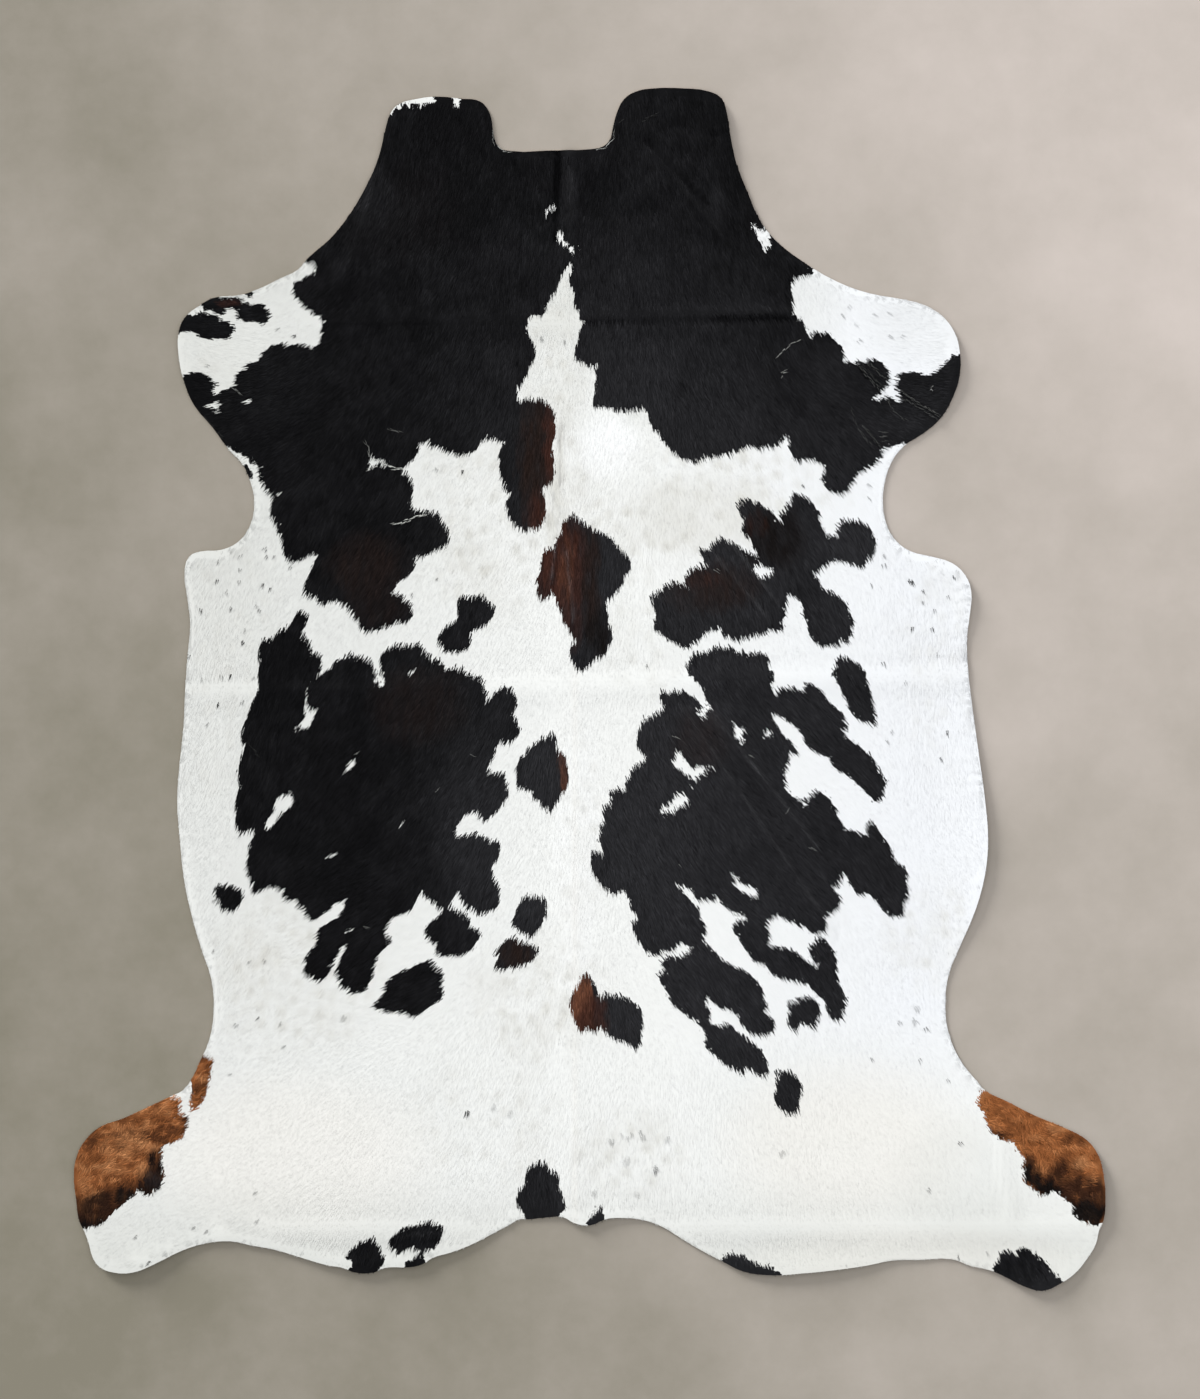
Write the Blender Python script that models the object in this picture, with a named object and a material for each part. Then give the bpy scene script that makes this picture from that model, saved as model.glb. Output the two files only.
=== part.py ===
"""Cowhide rug: one whole tanned hide with its hair on, lying flat and showing the folds it was packed in.

Metres, +Z up. +Y points to the neck, +X to the right of the hide seen from above, and the origin is
on the floor under the middle of the hide. The hide is one skin, so it is one closed solid.
"""
import math

import bmesh
import bpy
from mathutils import Vector, geometry, kdtree

# Driving sizes
RUG_LENGTH = 2.10        # from the neck tabs to the hind feet
RUG_WIDTH = 1.80         # across the hind legs
LEATHER_BACK = 0.0024    # tanned skin along the spine
LEATHER_BELLY = 0.0016   # tanned skin at the flanks and legs
COAT = 0.0020            # height of the lying hair
RIM_HEIGHT = 0.0017      # what is left at the trimmed edge
RIM_BAND = 0.006         # width of the sloping edge
LIFT_BAND = 0.075        # how far in from the edge a curl reaches
BACK_REACH = 0.80        # half width over which the skin thins from back to belly

# Steps of the mesh
GRID_STEP = 0.055
SEGMENTS_PER_SPAN = 3
SAME_POINT = 0.0001
SNAP_TO_CUT = 0.0004
SHARP_ANGLE = math.radians(40)
MM = 0.001

# The cut edge, clockwise seen from above, in millimetres from the middle of the hide
OUTLINE = {
    "left neck tab": [
        (-418, 832), (-394, 872), (-377, 907), (-365, 942), (-357, 977), (-347, 1008), (-334, 1022),
        (-301, 1032), (-268, 1036), (-221, 1032), (-198, 1030), (-184, 1022), (-172, 999), (-168, 971),
    ],
    "neck notch": [(-158, 947), (-139, 941), (-69, 942), (1, 944), (24, 949), (36, 961)],
    "right neck tab": [
        (41, 982), (48, 1008), (60, 1031), (79, 1044), (109, 1050), (167, 1050), (207, 1045), (230, 1033),
        (240, 1006), (246, 968), (256, 921), (277, 867), (298, 819),
    ],
    "right shoulder": [(324, 786), (368, 751), (434, 712), (490, 692), (551, 681), (587, 671)],
    "right foreleg": [
        (605, 661), (621, 648), (638, 623), (646, 596), (647, 549), (635, 510), (614, 474), (583, 447),
        (548, 424),
    ],
    "right armpit": [
        (528, 397), (516, 362), (513, 325), (518, 292), (532, 264), (560, 242), (598, 232), (633, 221),
        (656, 200), (667, 170),
    ],
    "right flank": [
        (665, 135), (660, 93), (661, 44), (670, -37), (681, -119), (692, -204), (696, -269), (690, -327),
        (674, -386), (647, -450), (628, -498), (622, -549), (627, -597), (647, -646), (674, -681),
    ],
    "right hind leg": [
        (693, -702), (726, -718), (777, -744), (839, -770), (869, -787), (888, -812), (897, -844),
        (901, -893), (898, -926), (890, -945), (885, -968), (867, -998), (849, -1019), (825, -1036),
        (792, -1050), (763, -1044), (722, -1024), (700, -1015), (665, -1007), (635, -996),
    ],
    "right rump": [
        (577, -997), (528, -998), (487, -1006), (429, -1014), (368, -1020), (312, -1023), (266, -1016),
        (232, -999), (193, -979), (158, -958), (127, -939),
    ],
    "tail": [
        (93, -927), (50, -923), (29, -925), (1, -936), (-27, -932), (-46, -922), (-78, -923),
        (-106, -926), (-123, -926),
    ],
    "left rump": [
        (-139, -935), (-158, -945), (-209, -971), (-244, -984), (-275, -993), (-290, -1003), (-315, -1009),
        (-349, -1009), (-364, -1012), (-376, -1018), (-412, -1018), (-431, -1010), (-457, -1006),
        (-506, -992), (-550, -979), (-593, -971), (-628, -964), (-672, -968), (-714, -981),
    ],
    "left hind leg": [
        (-759, -1003), (-798, -1018), (-831, -1018), (-855, -1009), (-868, -992), (-875, -968),
        (-883, -947), (-892, -929), (-897, -894), (-901, -844), (-895, -812), (-880, -786),
        (-855, -764), (-819, -751), (-768, -728), (-732, -711), (-710, -700), (-694, -678),
    ],
    "left flank": [
        (-680, -648), (-665, -613), (-657, -561), (-661, -507), (-678, -455), (-696, -393), (-709, -331),
        (-717, -253), (-721, -194), (-717, -134), (-710, -67), (-707, -4), (-702, 68), (-698, 115),
        (-703, 159), (-708, 204), (-700, 232),
    ],
    "left armpit": [
        (-680, 241), (-644, 244), (-614, 258), (-594, 285), (-586, 327), (-593, 363), (-607, 394),
        (-632, 421), (-660, 459),
    ],
    "left foreleg": [
        (-691, 496), (-708, 535), (-718, 583), (-718, 624), (-708, 649), (-681, 671), (-658, 684),
        (-611, 689), (-576, 701), (-541, 718),
    ],
    "left shoulder": [(-509, 734), (-491, 755), (-454, 787)],
}

# Folds left by packing and handling: (name, start, end, height, half width), all in millimetres.
# Each is a low ridge that lifts the skin off the floor.
FOLDS = [
    ("across the shoulders", (-452, 640), (372, 648), 3.0, 30),
    ("across the middle", (-690, -2), (650, 31), 2.5, 32),
    ("across the left rump", (-580, -940), (-190, -935), 3.0, 28),
    ("across the right rump", (170, -935), (830, -940), 3.0, 28),
    ("along the spine", (-36, 930), (-32, -910), 2.0, 40),
    ("right neck, long", (118, 924), (237, 793), 4.0, 18),
    ("right neck, short", (158, 930), (232, 838), 3.0, 14),
    ("left neck wave", (-440, 700), (-372, 890), 4.5, 26),
    ("right shoulder", (245, 245), (333, 131), 3.0, 20),
    ("right flank, upper", (219, -52), (392, -267), 3.5, 20),
    ("right flank, lower", (226, -147), (413, -421), 3.5, 20),
    ("left flank", (-328, -152), (-481, -327), 2.5, 20),
    ("right foreleg, inner", (464, 575), (512, 512), 3.5, 15),
    ("right foreleg, outer", (542, 519), (606, 476), 3.5, 15),
    ("right foreleg, root", (464, 470), (504, 400), 3.0, 16),
    ("right hind leg", (707, -784), (735, -930), 3.0, 18),
]

# Stretches of the edge that curl up: (name, middle, half length, height), all in millimetres
CURLS = [
    ("right foreleg", (646, 570), 150, 5.0),
    ("right armpit", (667, 170), 130, 5.0),
    ("right flank", (694, -240), 300, 6.0),
    ("right hind foot", (900, -880), 170, 8.0),
    ("right hind sole", (800, -1050), 150, 6.0),
    ("right rump", (380, -1020), 230, 6.0),
    ("tail", (10, -930), 120, 4.0),
    ("left rump", (-330, -1012), 230, 6.0),
    ("left hind sole", (-810, -1018), 150, 7.0),
    ("left hind foot", (-900, -840), 120, 3.0),
    ("left foreleg", (-718, 600), 110, 3.0),
    ("left neck tab", (-360, 960), 120, 4.0),
    ("right neck tab", (245, 990), 130, 5.0),
]


def bell(distance, reach):
    """1 at the middle, falling smoothly to exactly 0 at the reach."""
    if distance >= reach:
        return 0.0
    return 0.5 + 0.5 * math.cos(math.pi * distance / reach)


def place(point):
    """A point of the tables, in metres."""
    return Vector((point[0] * MM, point[1] * MM, 0.0))


def distance_to_stretch(spot, start, end):
    """Distance from a spot to the straight line between two points, ends included."""
    nearest, share = geometry.intersect_point_line(spot, start, end)
    nearest = start if share < 0.0 else end if share > 1.0 else nearest
    return (spot - nearest).length


def cut_edge_curve():
    """The outline as a smooth closed Bezier curve through its points."""
    points = [place(point) for stretch in OUTLINE.values() for point in stretch]
    curve = bpy.data.curves.new("cut edge", 'CURVE')
    curve.dimensions = '2D'
    curve.fill_mode = 'NONE'
    curve.resolution_u = SEGMENTS_PER_SPAN
    spline = curve.splines.new('BEZIER')
    spline.bezier_points.add(len(points) - 1)
    for knot, point in zip(spline.bezier_points, points):
        knot.co = point
        knot.handle_left_type = 'AUTO'
        knot.handle_right_type = 'AUTO'
    spline.use_cyclic_u = True
    return curve


def flat_sheet():
    """One face inside the cut edge, brought to the rug's length and width and centred."""
    guide = bpy.data.objects.new("cut edge", cut_edge_curve())
    bm = bmesh.new()
    bm.from_mesh(guide.to_mesh())
    guide.to_mesh_clear()
    bpy.data.objects.remove(guide)
    bmesh.ops.remove_doubles(bm, verts=bm.verts, dist=SAME_POINT)
    bmesh.ops.contextual_create(bm, geom=bm.edges)
    xs = [vert.co.x for vert in bm.verts]
    ys = [vert.co.y for vert in bm.verts]
    middle = Vector(((max(xs) + min(xs)) / 2, (max(ys) + min(ys)) / 2, 0.0))
    stretch = (RUG_WIDTH / (max(xs) - min(xs)), RUG_LENGTH / (max(ys) - min(ys)), 1.0)
    bmesh.ops.translate(bm, verts=bm.verts, vec=-middle)
    bmesh.ops.scale(bm, verts=bm.verts, vec=stretch)
    return bm


def cut_across(bm, spot, normal, faces):
    """Cuts the given faces, with their edges and points, along an upright plane."""
    edges = {edge for face in faces for edge in face.edges}
    verts = {vert for face in faces for vert in face.verts}
    cut = list(verts) + list(edges) + list(faces)
    bmesh.ops.bisect_plane(bm, geom=cut, dist=SNAP_TO_CUT, plane_co=spot, plane_no=normal)


def cut_grid(bm):
    """Square cells over the whole sheet."""
    for size, normal in ((RUG_WIDTH, Vector((1, 0, 0))), (RUG_LENGTH, Vector((0, 1, 0)))):
        half_count = int(size / 2 / GRID_STEP)
        for step in range(-half_count, half_count + 1):
            cut_across(bm, normal * (step * GRID_STEP), normal, bm.faces[:])


def cut_folds(bm):
    """Three extra cuts along each fold: its crest and its two feet."""
    for name, start, end, height, half_width in FOLDS:
        start, end = place(start), place(end)
        along = (end - start).normalized()
        across = Vector((-along.y, along.x, 0.0))
        for side in (-1, 0, 1):
            spot = start + across * (side * half_width * MM)
            reach = half_width * MM + GRID_STEP / 2
            near = [
                face for face in bm.faces
                if distance_to_stretch(face.calc_center_median(), start, end) < reach
            ]
            cut_across(bm, spot, across, near)


def lift_over_folds(spot):
    """Height of the skin's underside over the floor, from the folds."""
    lift = 0.0
    for name, start, end, height, half_width in FOLDS:
        distance = distance_to_stretch(spot, place(start), place(end))
        lift = max(lift, height * MM * bell(distance, half_width * MM))
    return lift


def lift_at_rim(spot, rim_distance):
    """Height of the skin's underside over the floor, from the curling edge."""
    lift = 0.0
    for name, middle, half_length, height in CURLS:
        share = bell((spot - place(middle)).length, half_length * MM)
        lift = max(lift, height * MM * share * bell(rim_distance, LIFT_BAND))
    return lift


def skin_and_coat(spot):
    """Thickness of leather and hair together: thickest along the back, thinnest at the belly and legs."""
    share = bell(abs(spot.x), BACK_REACH)
    return LEATHER_BELLY + (LEATHER_BACK - LEATHER_BELLY) * share + COAT


def hide_mesh():
    """The closed solid: underside and coat, raised over folds and curls, thinner at the cut edge."""
    bm = flat_sheet()
    bmesh.ops.inset_region(bm, faces=bm.faces[:], thickness=RIM_BAND, use_boundary=True, use_even_offset=True)
    cut_grid(bm)
    cut_folds(bm)
    rim_tree = kdtree.KDTree(len(bm.verts))
    for index, vert in enumerate(bm.verts):
        if vert.is_boundary:
            rim_tree.insert(vert.co, index)
    rim_tree.balance()
    top = bmesh.ops.extrude_face_region(bm, geom=bm.faces[:], use_keep_orig=True)["geom"]
    top_verts = {item for item in top if isinstance(item, bmesh.types.BMVert)}
    for vert in bm.verts:
        spot = vert.co.copy()
        rim_distance = rim_tree.find(spot)[2]
        vert.co.z = max(lift_over_folds(spot), lift_at_rim(spot, rim_distance))
        if vert in top_verts:
            vert.co.z += RIM_HEIGHT if rim_distance < SAME_POINT else skin_and_coat(spot)
    bmesh.ops.recalc_face_normals(bm, faces=bm.faces)
    bmesh.ops.triangulate(bm, faces=bm.faces)
    mesh = bpy.data.meshes.new("hide")
    bm.to_mesh(mesh)
    bm.free()
    mesh.shade_smooth()
    mesh.set_sharp_from_angle(angle=SHARP_ANGLE)
    return mesh


def coat_material():
    """White cow hair, the largest colour of the coat."""
    material = bpy.data.materials.new("cow hair")
    material.use_nodes = True
    shader = material.node_tree.nodes["Principled BSDF"]
    shader.inputs["Base Color"].default_value = (0.80, 0.79, 0.77, 1.0)
    shader.inputs["Roughness"].default_value = 0.62
    shader.inputs["Metallic"].default_value = 0.0
    return material


def build_rug():
    hide = bpy.data.objects.new("hide", hide_mesh())
    hide.data.materials.append(coat_material())
    bpy.context.scene.collection.objects.link(hide)


for old in list(bpy.data.objects):
    bpy.data.objects.remove(old, do_unlink=True)
build_rug()
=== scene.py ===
import math

import bmesh
import bpy
import numpy as np
from mathutils import Matrix, Vector
from mathutils.bvhtree import BVHTree
from mathutils.kdtree import KDTree


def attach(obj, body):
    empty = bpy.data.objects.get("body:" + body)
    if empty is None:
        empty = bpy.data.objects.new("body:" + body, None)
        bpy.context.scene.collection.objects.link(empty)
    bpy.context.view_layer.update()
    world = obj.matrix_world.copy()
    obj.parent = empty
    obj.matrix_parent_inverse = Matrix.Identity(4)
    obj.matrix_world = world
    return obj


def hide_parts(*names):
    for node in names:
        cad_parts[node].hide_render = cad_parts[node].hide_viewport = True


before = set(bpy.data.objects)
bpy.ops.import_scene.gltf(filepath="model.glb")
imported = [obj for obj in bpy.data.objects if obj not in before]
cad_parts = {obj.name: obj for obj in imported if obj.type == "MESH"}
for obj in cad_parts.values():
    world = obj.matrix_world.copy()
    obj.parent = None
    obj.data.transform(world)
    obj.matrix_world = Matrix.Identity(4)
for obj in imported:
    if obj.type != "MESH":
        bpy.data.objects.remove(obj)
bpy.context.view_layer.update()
mm = 0.001
print("frame loaded:", sorted(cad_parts))

# Markings of the coat, placed in millimetres from the middle of the hide: x to the right, y to the
# neck. Each is a closed loop once round its patch; where a patch runs off the hide, so does its loop.
darkPatches = {
    "left shoulder": [
        (-506, 742), (-486, 747), (-474, 728), (-491, 720), (-517, 710), (-520, 691), (-508, 677),
        (-491, 662), (-471, 651), (-462, 640), (-471, 628), (-469, 612), (-480, 594), (-493, 599),
        (-518, 601), (-548, 603), (-565, 597), (-577, 573), (-606, 566), (-601, 559), (-618, 551),
        (-622, 525), (-639, 524), (-652, 511), (-660, 522), (-650, 531), (-662, 544), (-689, 556),
        (-709, 547), (-735, 540), (-715, 470), (-660, 430), (-627, 422), (-614, 411), (-597, 401),
        (-580, 386), (-578, 370), (-568, 349), (-552, 333), (-560, 316), (-552, 292), (-540, 267),
        (-537, 254), (-535, 229), (-518, 220), (-506, 224), (-490, 233), (-473, 233), (-482, 220),
        (-485, 208), (-497, 189), (-503, 158), (-478, 159), (-466, 146), (-453, 150), (-438, 152),
        (-423, 140), (-413, 127), (-402, 112), (-399, 101), (-372, 101), (-349, 108), (-339, 117),
        (-313, 117), (-307, 133), (-314, 148), (-326, 152), (-321, 160), (-348, 167), (-337, 179),
        (-335, 187), (-317, 195), (-304, 212), (-307, 230), (-286, 228), (-270, 245), (-254, 245),
        (-243, 255), (-249, 280), (-265, 304), (-289, 309), (-307, 313), (-315, 322), (-310, 336),
        (-310, 361), (-324, 379), (-328, 384), (-310, 397), (-299, 412), (-299, 429), (-289, 431),
        (-265, 419), (-242, 411), (-218, 406), (-200, 413), (-187, 436), (-169, 434), (-149, 428),
        (-159, 416), (-156, 395), (-158, 376), (-149, 348), (-131, 339), (-146, 330), (-148, 319),
        (-136, 290), (-115, 274), (-88, 277), (-76, 300), (-75, 328), (-85, 350), (-74, 355), (-62, 363),
        (-62, 404), (-65, 422), (-60, 451), (-61, 487), (-80, 500), (-100, 507), (-121, 500), (-127, 510),
        (-130, 528), (-119, 528), (-109, 554), (-91, 582), (-99, 602), (-113, 631), (-105, 650), (-80, 653),
        (-69, 680), (-58, 694), (-47, 725), (-35, 743), (10, 770), (60, 800), (100, 1100), (-400, 1100),
        (-560, 800),
    ],
    "right shoulder": [
        (-35, 743), (-29, 734), (-36, 721), (-32, 703), (-26, 688), (-29, 674), (-16, 652), (-10, 636),
        (-22, 608), (-28, 579), (-9, 568), (5, 556), (15, 567), (24, 566), (11, 556), (11, 531), (5, 504),
        (8, 489), (28, 493), (46, 485), (71, 481), (100, 491), (106, 460), (120, 445), (140, 420),
        (155, 401), (182, 395), (220, 407), (249, 408), (273, 423), (294, 419), (317, 420), (336, 429),
        (342, 446), (351, 432), (351, 410), (363, 394), (385, 400), (403, 395), (415, 383), (403, 364),
        (423, 341), (445, 337), (464, 364), (478, 381), (497, 389), (520, 423), (542, 428), (557, 428),
        (600, 440), (670, 500), (680, 590), (646, 587), (629, 578), (601, 551), (590, 546), (567, 554),
        (540, 551), (536, 529), (543, 503), (539, 497), (534, 506), (517, 510), (508, 504), (493, 504),
        (511, 519), (525, 535), (520, 566), (500, 577), (464, 569), (440, 570), (447, 585), (432, 606),
        (415, 621), (392, 621), (387, 613), (379, 622), (375, 640), (354, 659), (356, 677), (351, 702),
        (362, 718), (380, 720), (391, 731), (420, 760), (300, 850), (280, 1100), (-150, 1100), (-150, 780),
        (-60, 760),
    ],
    "left ribs": [
        (-228, 158), (-218, 161), (-203, 159), (-188, 158), (-177, 152), (-168, 145), (-162, 134),
        (-173, 118), (-180, 111), (-200, 101), (-211, 99), (-207, 90), (-209, 77), (-214, 67), (-227, 64),
        (-252, 62), (-263, 77), (-268, 87), (-263, 95), (-248, 111), (-230, 118), (-231, 130), (-232, 142),
    ],
    "spine": [
        (-84, 201), (-85, 212), (-81, 242), (-68, 245), (-62, 242), (-50, 271), (-47, 286), (-38, 298),
        (-29, 304), (-9, 288), (5, 276), (31, 267), (50, 248), (61, 236), (73, 227), (74, 208), (61, 193),
        (59, 183), (46, 165), (30, 152), (28, 142), (33, 118), (39, 93), (39, 81), (33, 68), (27, 59),
        (12, 52), (1, 43), (-10, 32), (-21, 32), (-31, 43), (-35, 68), (-31, 78), (-21, 80), (-32, 93),
        (-34, 106), (-44, 109), (-47, 121), (-49, 134), (-56, 145), (-61, 154), (-63, 164), (-74, 176),
        (-69, 167), (-71, 159), (-80, 155), (-90, 159), (-93, 167), (-91, 176), (-94, 185), (-93, 192),
    ],
    "right loin": [
        (258, 316), (261, 324), (273, 329), (285, 326), (300, 321), (320, 307), (323, 304), (330, 292),
        (339, 286), (331, 306), (341, 307), (351, 327), (359, 342), (385, 329), (397, 317), (404, 305),
        (401, 290), (412, 270), (423, 264), (435, 265), (432, 277), (447, 296), (466, 290), (478, 290),
        (489, 282), (502, 257), (493, 227), (486, 221), (484, 212), (469, 212), (449, 220), (438, 224),
        (415, 218), (400, 201), (388, 201), (398, 198), (404, 177), (423, 167), (435, 162), (450, 146),
        (459, 124), (459, 101), (452, 78), (440, 83), (437, 76), (415, 73), (391, 81), (381, 102),
        (375, 131), (372, 152), (356, 162), (348, 161), (345, 145), (339, 129), (336, 117), (338, 105),
        (332, 98), (319, 101), (308, 95), (282, 92), (280, 87), (257, 83), (233, 90), (233, 102),
        (230, 109), (226, 105), (214, 101), (199, 98), (192, 83), (177, 68), (161, 74), (142, 80),
        (129, 95), (110, 102), (118, 127), (115, 140), (108, 148), (106, 157), (120, 169), (137, 180),
        (146, 185), (164, 182), (171, 180), (165, 188), (173, 206), (193, 212), (211, 217), (202, 220),
        (201, 227), (190, 239), (213, 249), (217, 258), (238, 260), (261, 248), (288, 230), (300, 233),
        (286, 243), (285, 257), (263, 273), (273, 295), (261, 301), (264, 307),
    ],
    "right belly": [
        (438, 56), (432, 46), (426, 31), (428, 22), (440, -2), (449, -22), (455, -37), (464, -51),
        (487, -62), (496, -66), (502, -56), (497, -31), (492, -13), (486, 12), (481, 30), (475, 42),
        (458, 49),
    ],
    "right flank": [
        (176, 49), (167, 37), (170, 28), (182, 21), (189, 9), (199, -1), (201, -13), (207, -25), (214, -34),
        (201, -48), (189, -54), (186, -48), (199, -34), (195, -25), (179, -12), (158, -4), (137, -6),
        (127, -7), (121, -13), (131, -39), (120, -42), (99, -53), (90, -62), (81, -90), (81, -100),
        (96, -118), (101, -124), (83, -132), (74, -144), (65, -163), (64, -174), (68, -178), (58, -178),
        (49, -175), (39, -178), (36, -184), (39, -196), (34, -203), (21, -211), (27, -234), (19, -240),
        (16, -265), (28, -290), (9, -286), (4, -288), (2, -318), (16, -339), (34, -356), (47, -358),
        (61, -352), (74, -374), (67, -381), (86, -400), (75, -406), (74, -417), (84, -440), (103, -462),
        (117, -467), (129, -461), (149, -455), (145, -446), (170, -448), (182, -455), (200, -448),
        (202, -433), (203, -415), (196, -403), (195, -389), (177, -372), (167, -356), (145, -341),
        (157, -343), (167, -344), (177, -350), (188, -370), (199, -372), (217, -370), (220, -358),
        (229, -374), (247, -392), (273, -396), (276, -403), (255, -411), (250, -418), (264, -443),
        (275, -459), (291, -480), (308, -483), (326, -506), (350, -509), (373, -514), (382, -515),
        (388, -527), (409, -542), (415, -552), (413, -563), (422, -577), (429, -582), (444, -576),
        (449, -544), (444, -527), (432, -515), (437, -507), (431, -495), (432, -480), (426, -454),
        (418, -443), (404, -434), (387, -451), (384, -462), (391, -474), (400, -485), (387, -483),
        (359, -457), (329, -452), (303, -449), (314, -445), (317, -430), (310, -418), (316, -406),
        (329, -396), (353, -408), (385, -421), (402, -432), (415, -424), (412, -403), (418, -393),
        (432, -387), (443, -374), (443, -365), (427, -352), (418, -346), (432, -347), (441, -341),
        (441, -330), (446, -321), (453, -334), (462, -353), (469, -361), (477, -361), (490, -358),
        (509, -383), (525, -399), (548, -399), (551, -392), (549, -377), (558, -365), (559, -347),
        (554, -336), (558, -324), (545, -307), (533, -302), (528, -280), (517, -266), (508, -246),
        (493, -230), (483, -246), (487, -255), (455, -249), (441, -238), (435, -219), (426, -199),
        (403, -178), (392, -180), (373, -199), (359, -191), (349, -186), (341, -159), (351, -113),
        (364, -118), (369, -118), (356, -97), (350, -90), (338, -85), (332, -67), (317, -54), (325, -40),
        (334, -50), (359, -67), (375, -81), (373, -93), (391, -110), (418, -119), (432, -143), (457, -154),
        (484, -180), (496, -193), (511, -197), (521, -157), (503, -138), (499, -125), (484, -109),
        (458, -91), (441, -81), (449, -72), (449, -57), (441, -39), (418, -22), (410, -7), (391, 6),
        (382, 9), (375, 3), (372, -6), (360, 0), (341, 1), (329, -1), (323, -15), (317, 8), (320, 25),
        (311, 36), (317, 46), (314, 55), (302, 60), (270, 61), (241, 72), (220, 71), (214, 65), (185, 59),
    ],
    "right rump": [
        (196, -446), (179, -456), (161, -470), (137, -467), (124, -476), (134, -496), (123, -498),
        (121, -507), (136, -529), (142, -548), (167, -570), (185, -579), (200, -596), (207, -612),
        (201, -625), (223, -645), (242, -662), (260, -667), (269, -675), (273, -661), (289, -673),
        (305, -677), (313, -670), (308, -642), (297, -629), (277, -613), (264, -605), (247, -588),
        (235, -585), (229, -590), (205, -583), (211, -573), (210, -561), (202, -551), (207, -541),
        (200, -533), (227, -560), (255, -564), (263, -583), (279, -601), (298, -608), (317, -601),
        (325, -593), (323, -577), (300, -562), (314, -560), (303, -536), (304, -524), (288, -504),
        (267, -490), (241, -479), (220, -464), (217, -455), (210, -449),
    ],
    "right rump spot": [
        (379, -536), (363, -546), (347, -551), (351, -574), (345, -583), (350, -595), (362, -601),
        (372, -583), (391, -594), (398, -586), (407, -563), (401, -554), (388, -538),
    ],
    "right thigh": [
        (344, -669), (326, -673), (328, -682), (325, -691), (329, -698), (323, -707), (326, -723),
        (334, -737), (344, -744), (360, -744), (367, -739), (366, -717), (373, -704), (369, -685),
        (360, -677), (351, -670),
    ],
    "left flank": [
        (-511, 133), (-499, 132), (-490, 126), (-494, 114), (-505, 97), (-490, 81), (-487, 68), (-478, 58),
        (-469, 52), (-471, 36), (-470, 29), (-480, 16), (-466, 27), (-450, 39), (-447, 46), (-428, 57),
        (-404, 55), (-388, 50), (-379, 43), (-382, 37), (-370, 24), (-376, 14), (-366, 2), (-355, 10),
        (-366, 28), (-364, 40), (-369, 56), (-355, 68), (-339, 78), (-324, 75), (-301, 77), (-289, 67),
        (-280, 50), (-268, 51), (-254, 39), (-243, 33), (-227, 34), (-206, 22), (-193, 20), (-183, 11),
        (-184, -1), (-178, -14), (-184, -23), (-169, -14), (-162, -4), (-152, 2), (-141, -1), (-130, -11),
        (-125, -32), (-136, -41), (-127, -60), (-121, -72), (-127, -88), (-149, -98), (-161, -91),
        (-165, -116), (-180, -140), (-172, -148), (-150, -148), (-141, -181), (-143, -193), (-162, -217),
        (-183, -232), (-193, -225), (-196, -215), (-218, -221), (-240, -249), (-227, -257), (-209, -254),
        (-183, -260), (-159, -271), (-156, -291), (-175, -316), (-165, -339), (-155, -346), (-158, -377),
        (-165, -387), (-193, -396), (-206, -389), (-220, -378), (-230, -353), (-236, -364), (-248, -383),
        (-262, -386), (-276, -370), (-298, -353), (-305, -377), (-315, -389), (-329, -396), (-339, -395),
        (-349, -400), (-357, -430), (-348, -436), (-351, -448), (-373, -467), (-377, -495), (-391, -524),
        (-401, -532), (-414, -533), (-422, -526), (-433, -523), (-444, -495), (-441, -480), (-424, -450),
        (-430, -446), (-438, -460), (-447, -474), (-456, -501), (-478, -514), (-497, -499), (-500, -474),
        (-494, -464), (-476, -445), (-481, -433), (-476, -420), (-468, -415), (-450, -405), (-436, -398),
        (-431, -380), (-423, -369), (-447, -374), (-450, -384), (-474, -400), (-482, -408), (-497, -392),
        (-499, -381), (-509, -384), (-512, -367), (-531, -371), (-536, -361), (-534, -352), (-559, -344),
        (-583, -358), (-590, -356), (-590, -346), (-600, -309), (-594, -271), (-587, -262), (-586, -248),
        (-602, -250), (-611, -256), (-619, -237), (-617, -215), (-620, -198), (-611, -170), (-615, -152),
        (-609, -119), (-601, -102), (-609, -95), (-608, -76), (-597, -42), (-582, -10), (-577, 3),
        (-580, 32), (-574, 47), (-579, 56), (-577, 70), (-573, 81), (-553, 87), (-541, 103), (-526, 106),
        (-515, 126),
    ],
    "left belly spot": [
        (-658, -350), (-648, -343), (-632, -344), (-618, -350), (-606, -355), (-608, -372), (-617, -387),
        (-631, -391), (-643, -385), (-650, -370),
    ],
    "left rump upper": [
        (-242, -383), (-230, -389), (-215, -395), (-211, -405), (-212, -417), (-190, -426), (-193, -439),
        (-200, -451), (-215, -462), (-240, -470), (-249, -464), (-259, -467), (-274, -459), (-267, -449),
        (-286, -436), (-289, -426), (-282, -409), (-268, -400), (-251, -383),
    ],
    "left rump lower": [
        (-286, -474), (-268, -485), (-256, -502), (-258, -544), (-284, -558), (-302, -572), (-318, -570),
        (-339, -563), (-351, -568), (-379, -557), (-374, -545), (-358, -532), (-360, -520), (-352, -508),
        (-342, -499), (-312, -487), (-299, -480),
    ],
    "back spot upper": [
        (-115, -363), (-106, -362), (-82, -365), (-74, -370), (-74, -389), (-77, -403), (-94, -430),
        (-106, -434), (-121, -428), (-125, -420), (-136, -411), (-130, -386),
    ],
    "back spot lower": [
        (-137, -434), (-112, -448), (-88, -459), (-96, -470), (-108, -482), (-140, -489), (-162, -492),
        (-170, -489), (-159, -468), (-168, -459), (-153, -446), (-147, -440),
    ],
    "by the spine": [
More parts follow.
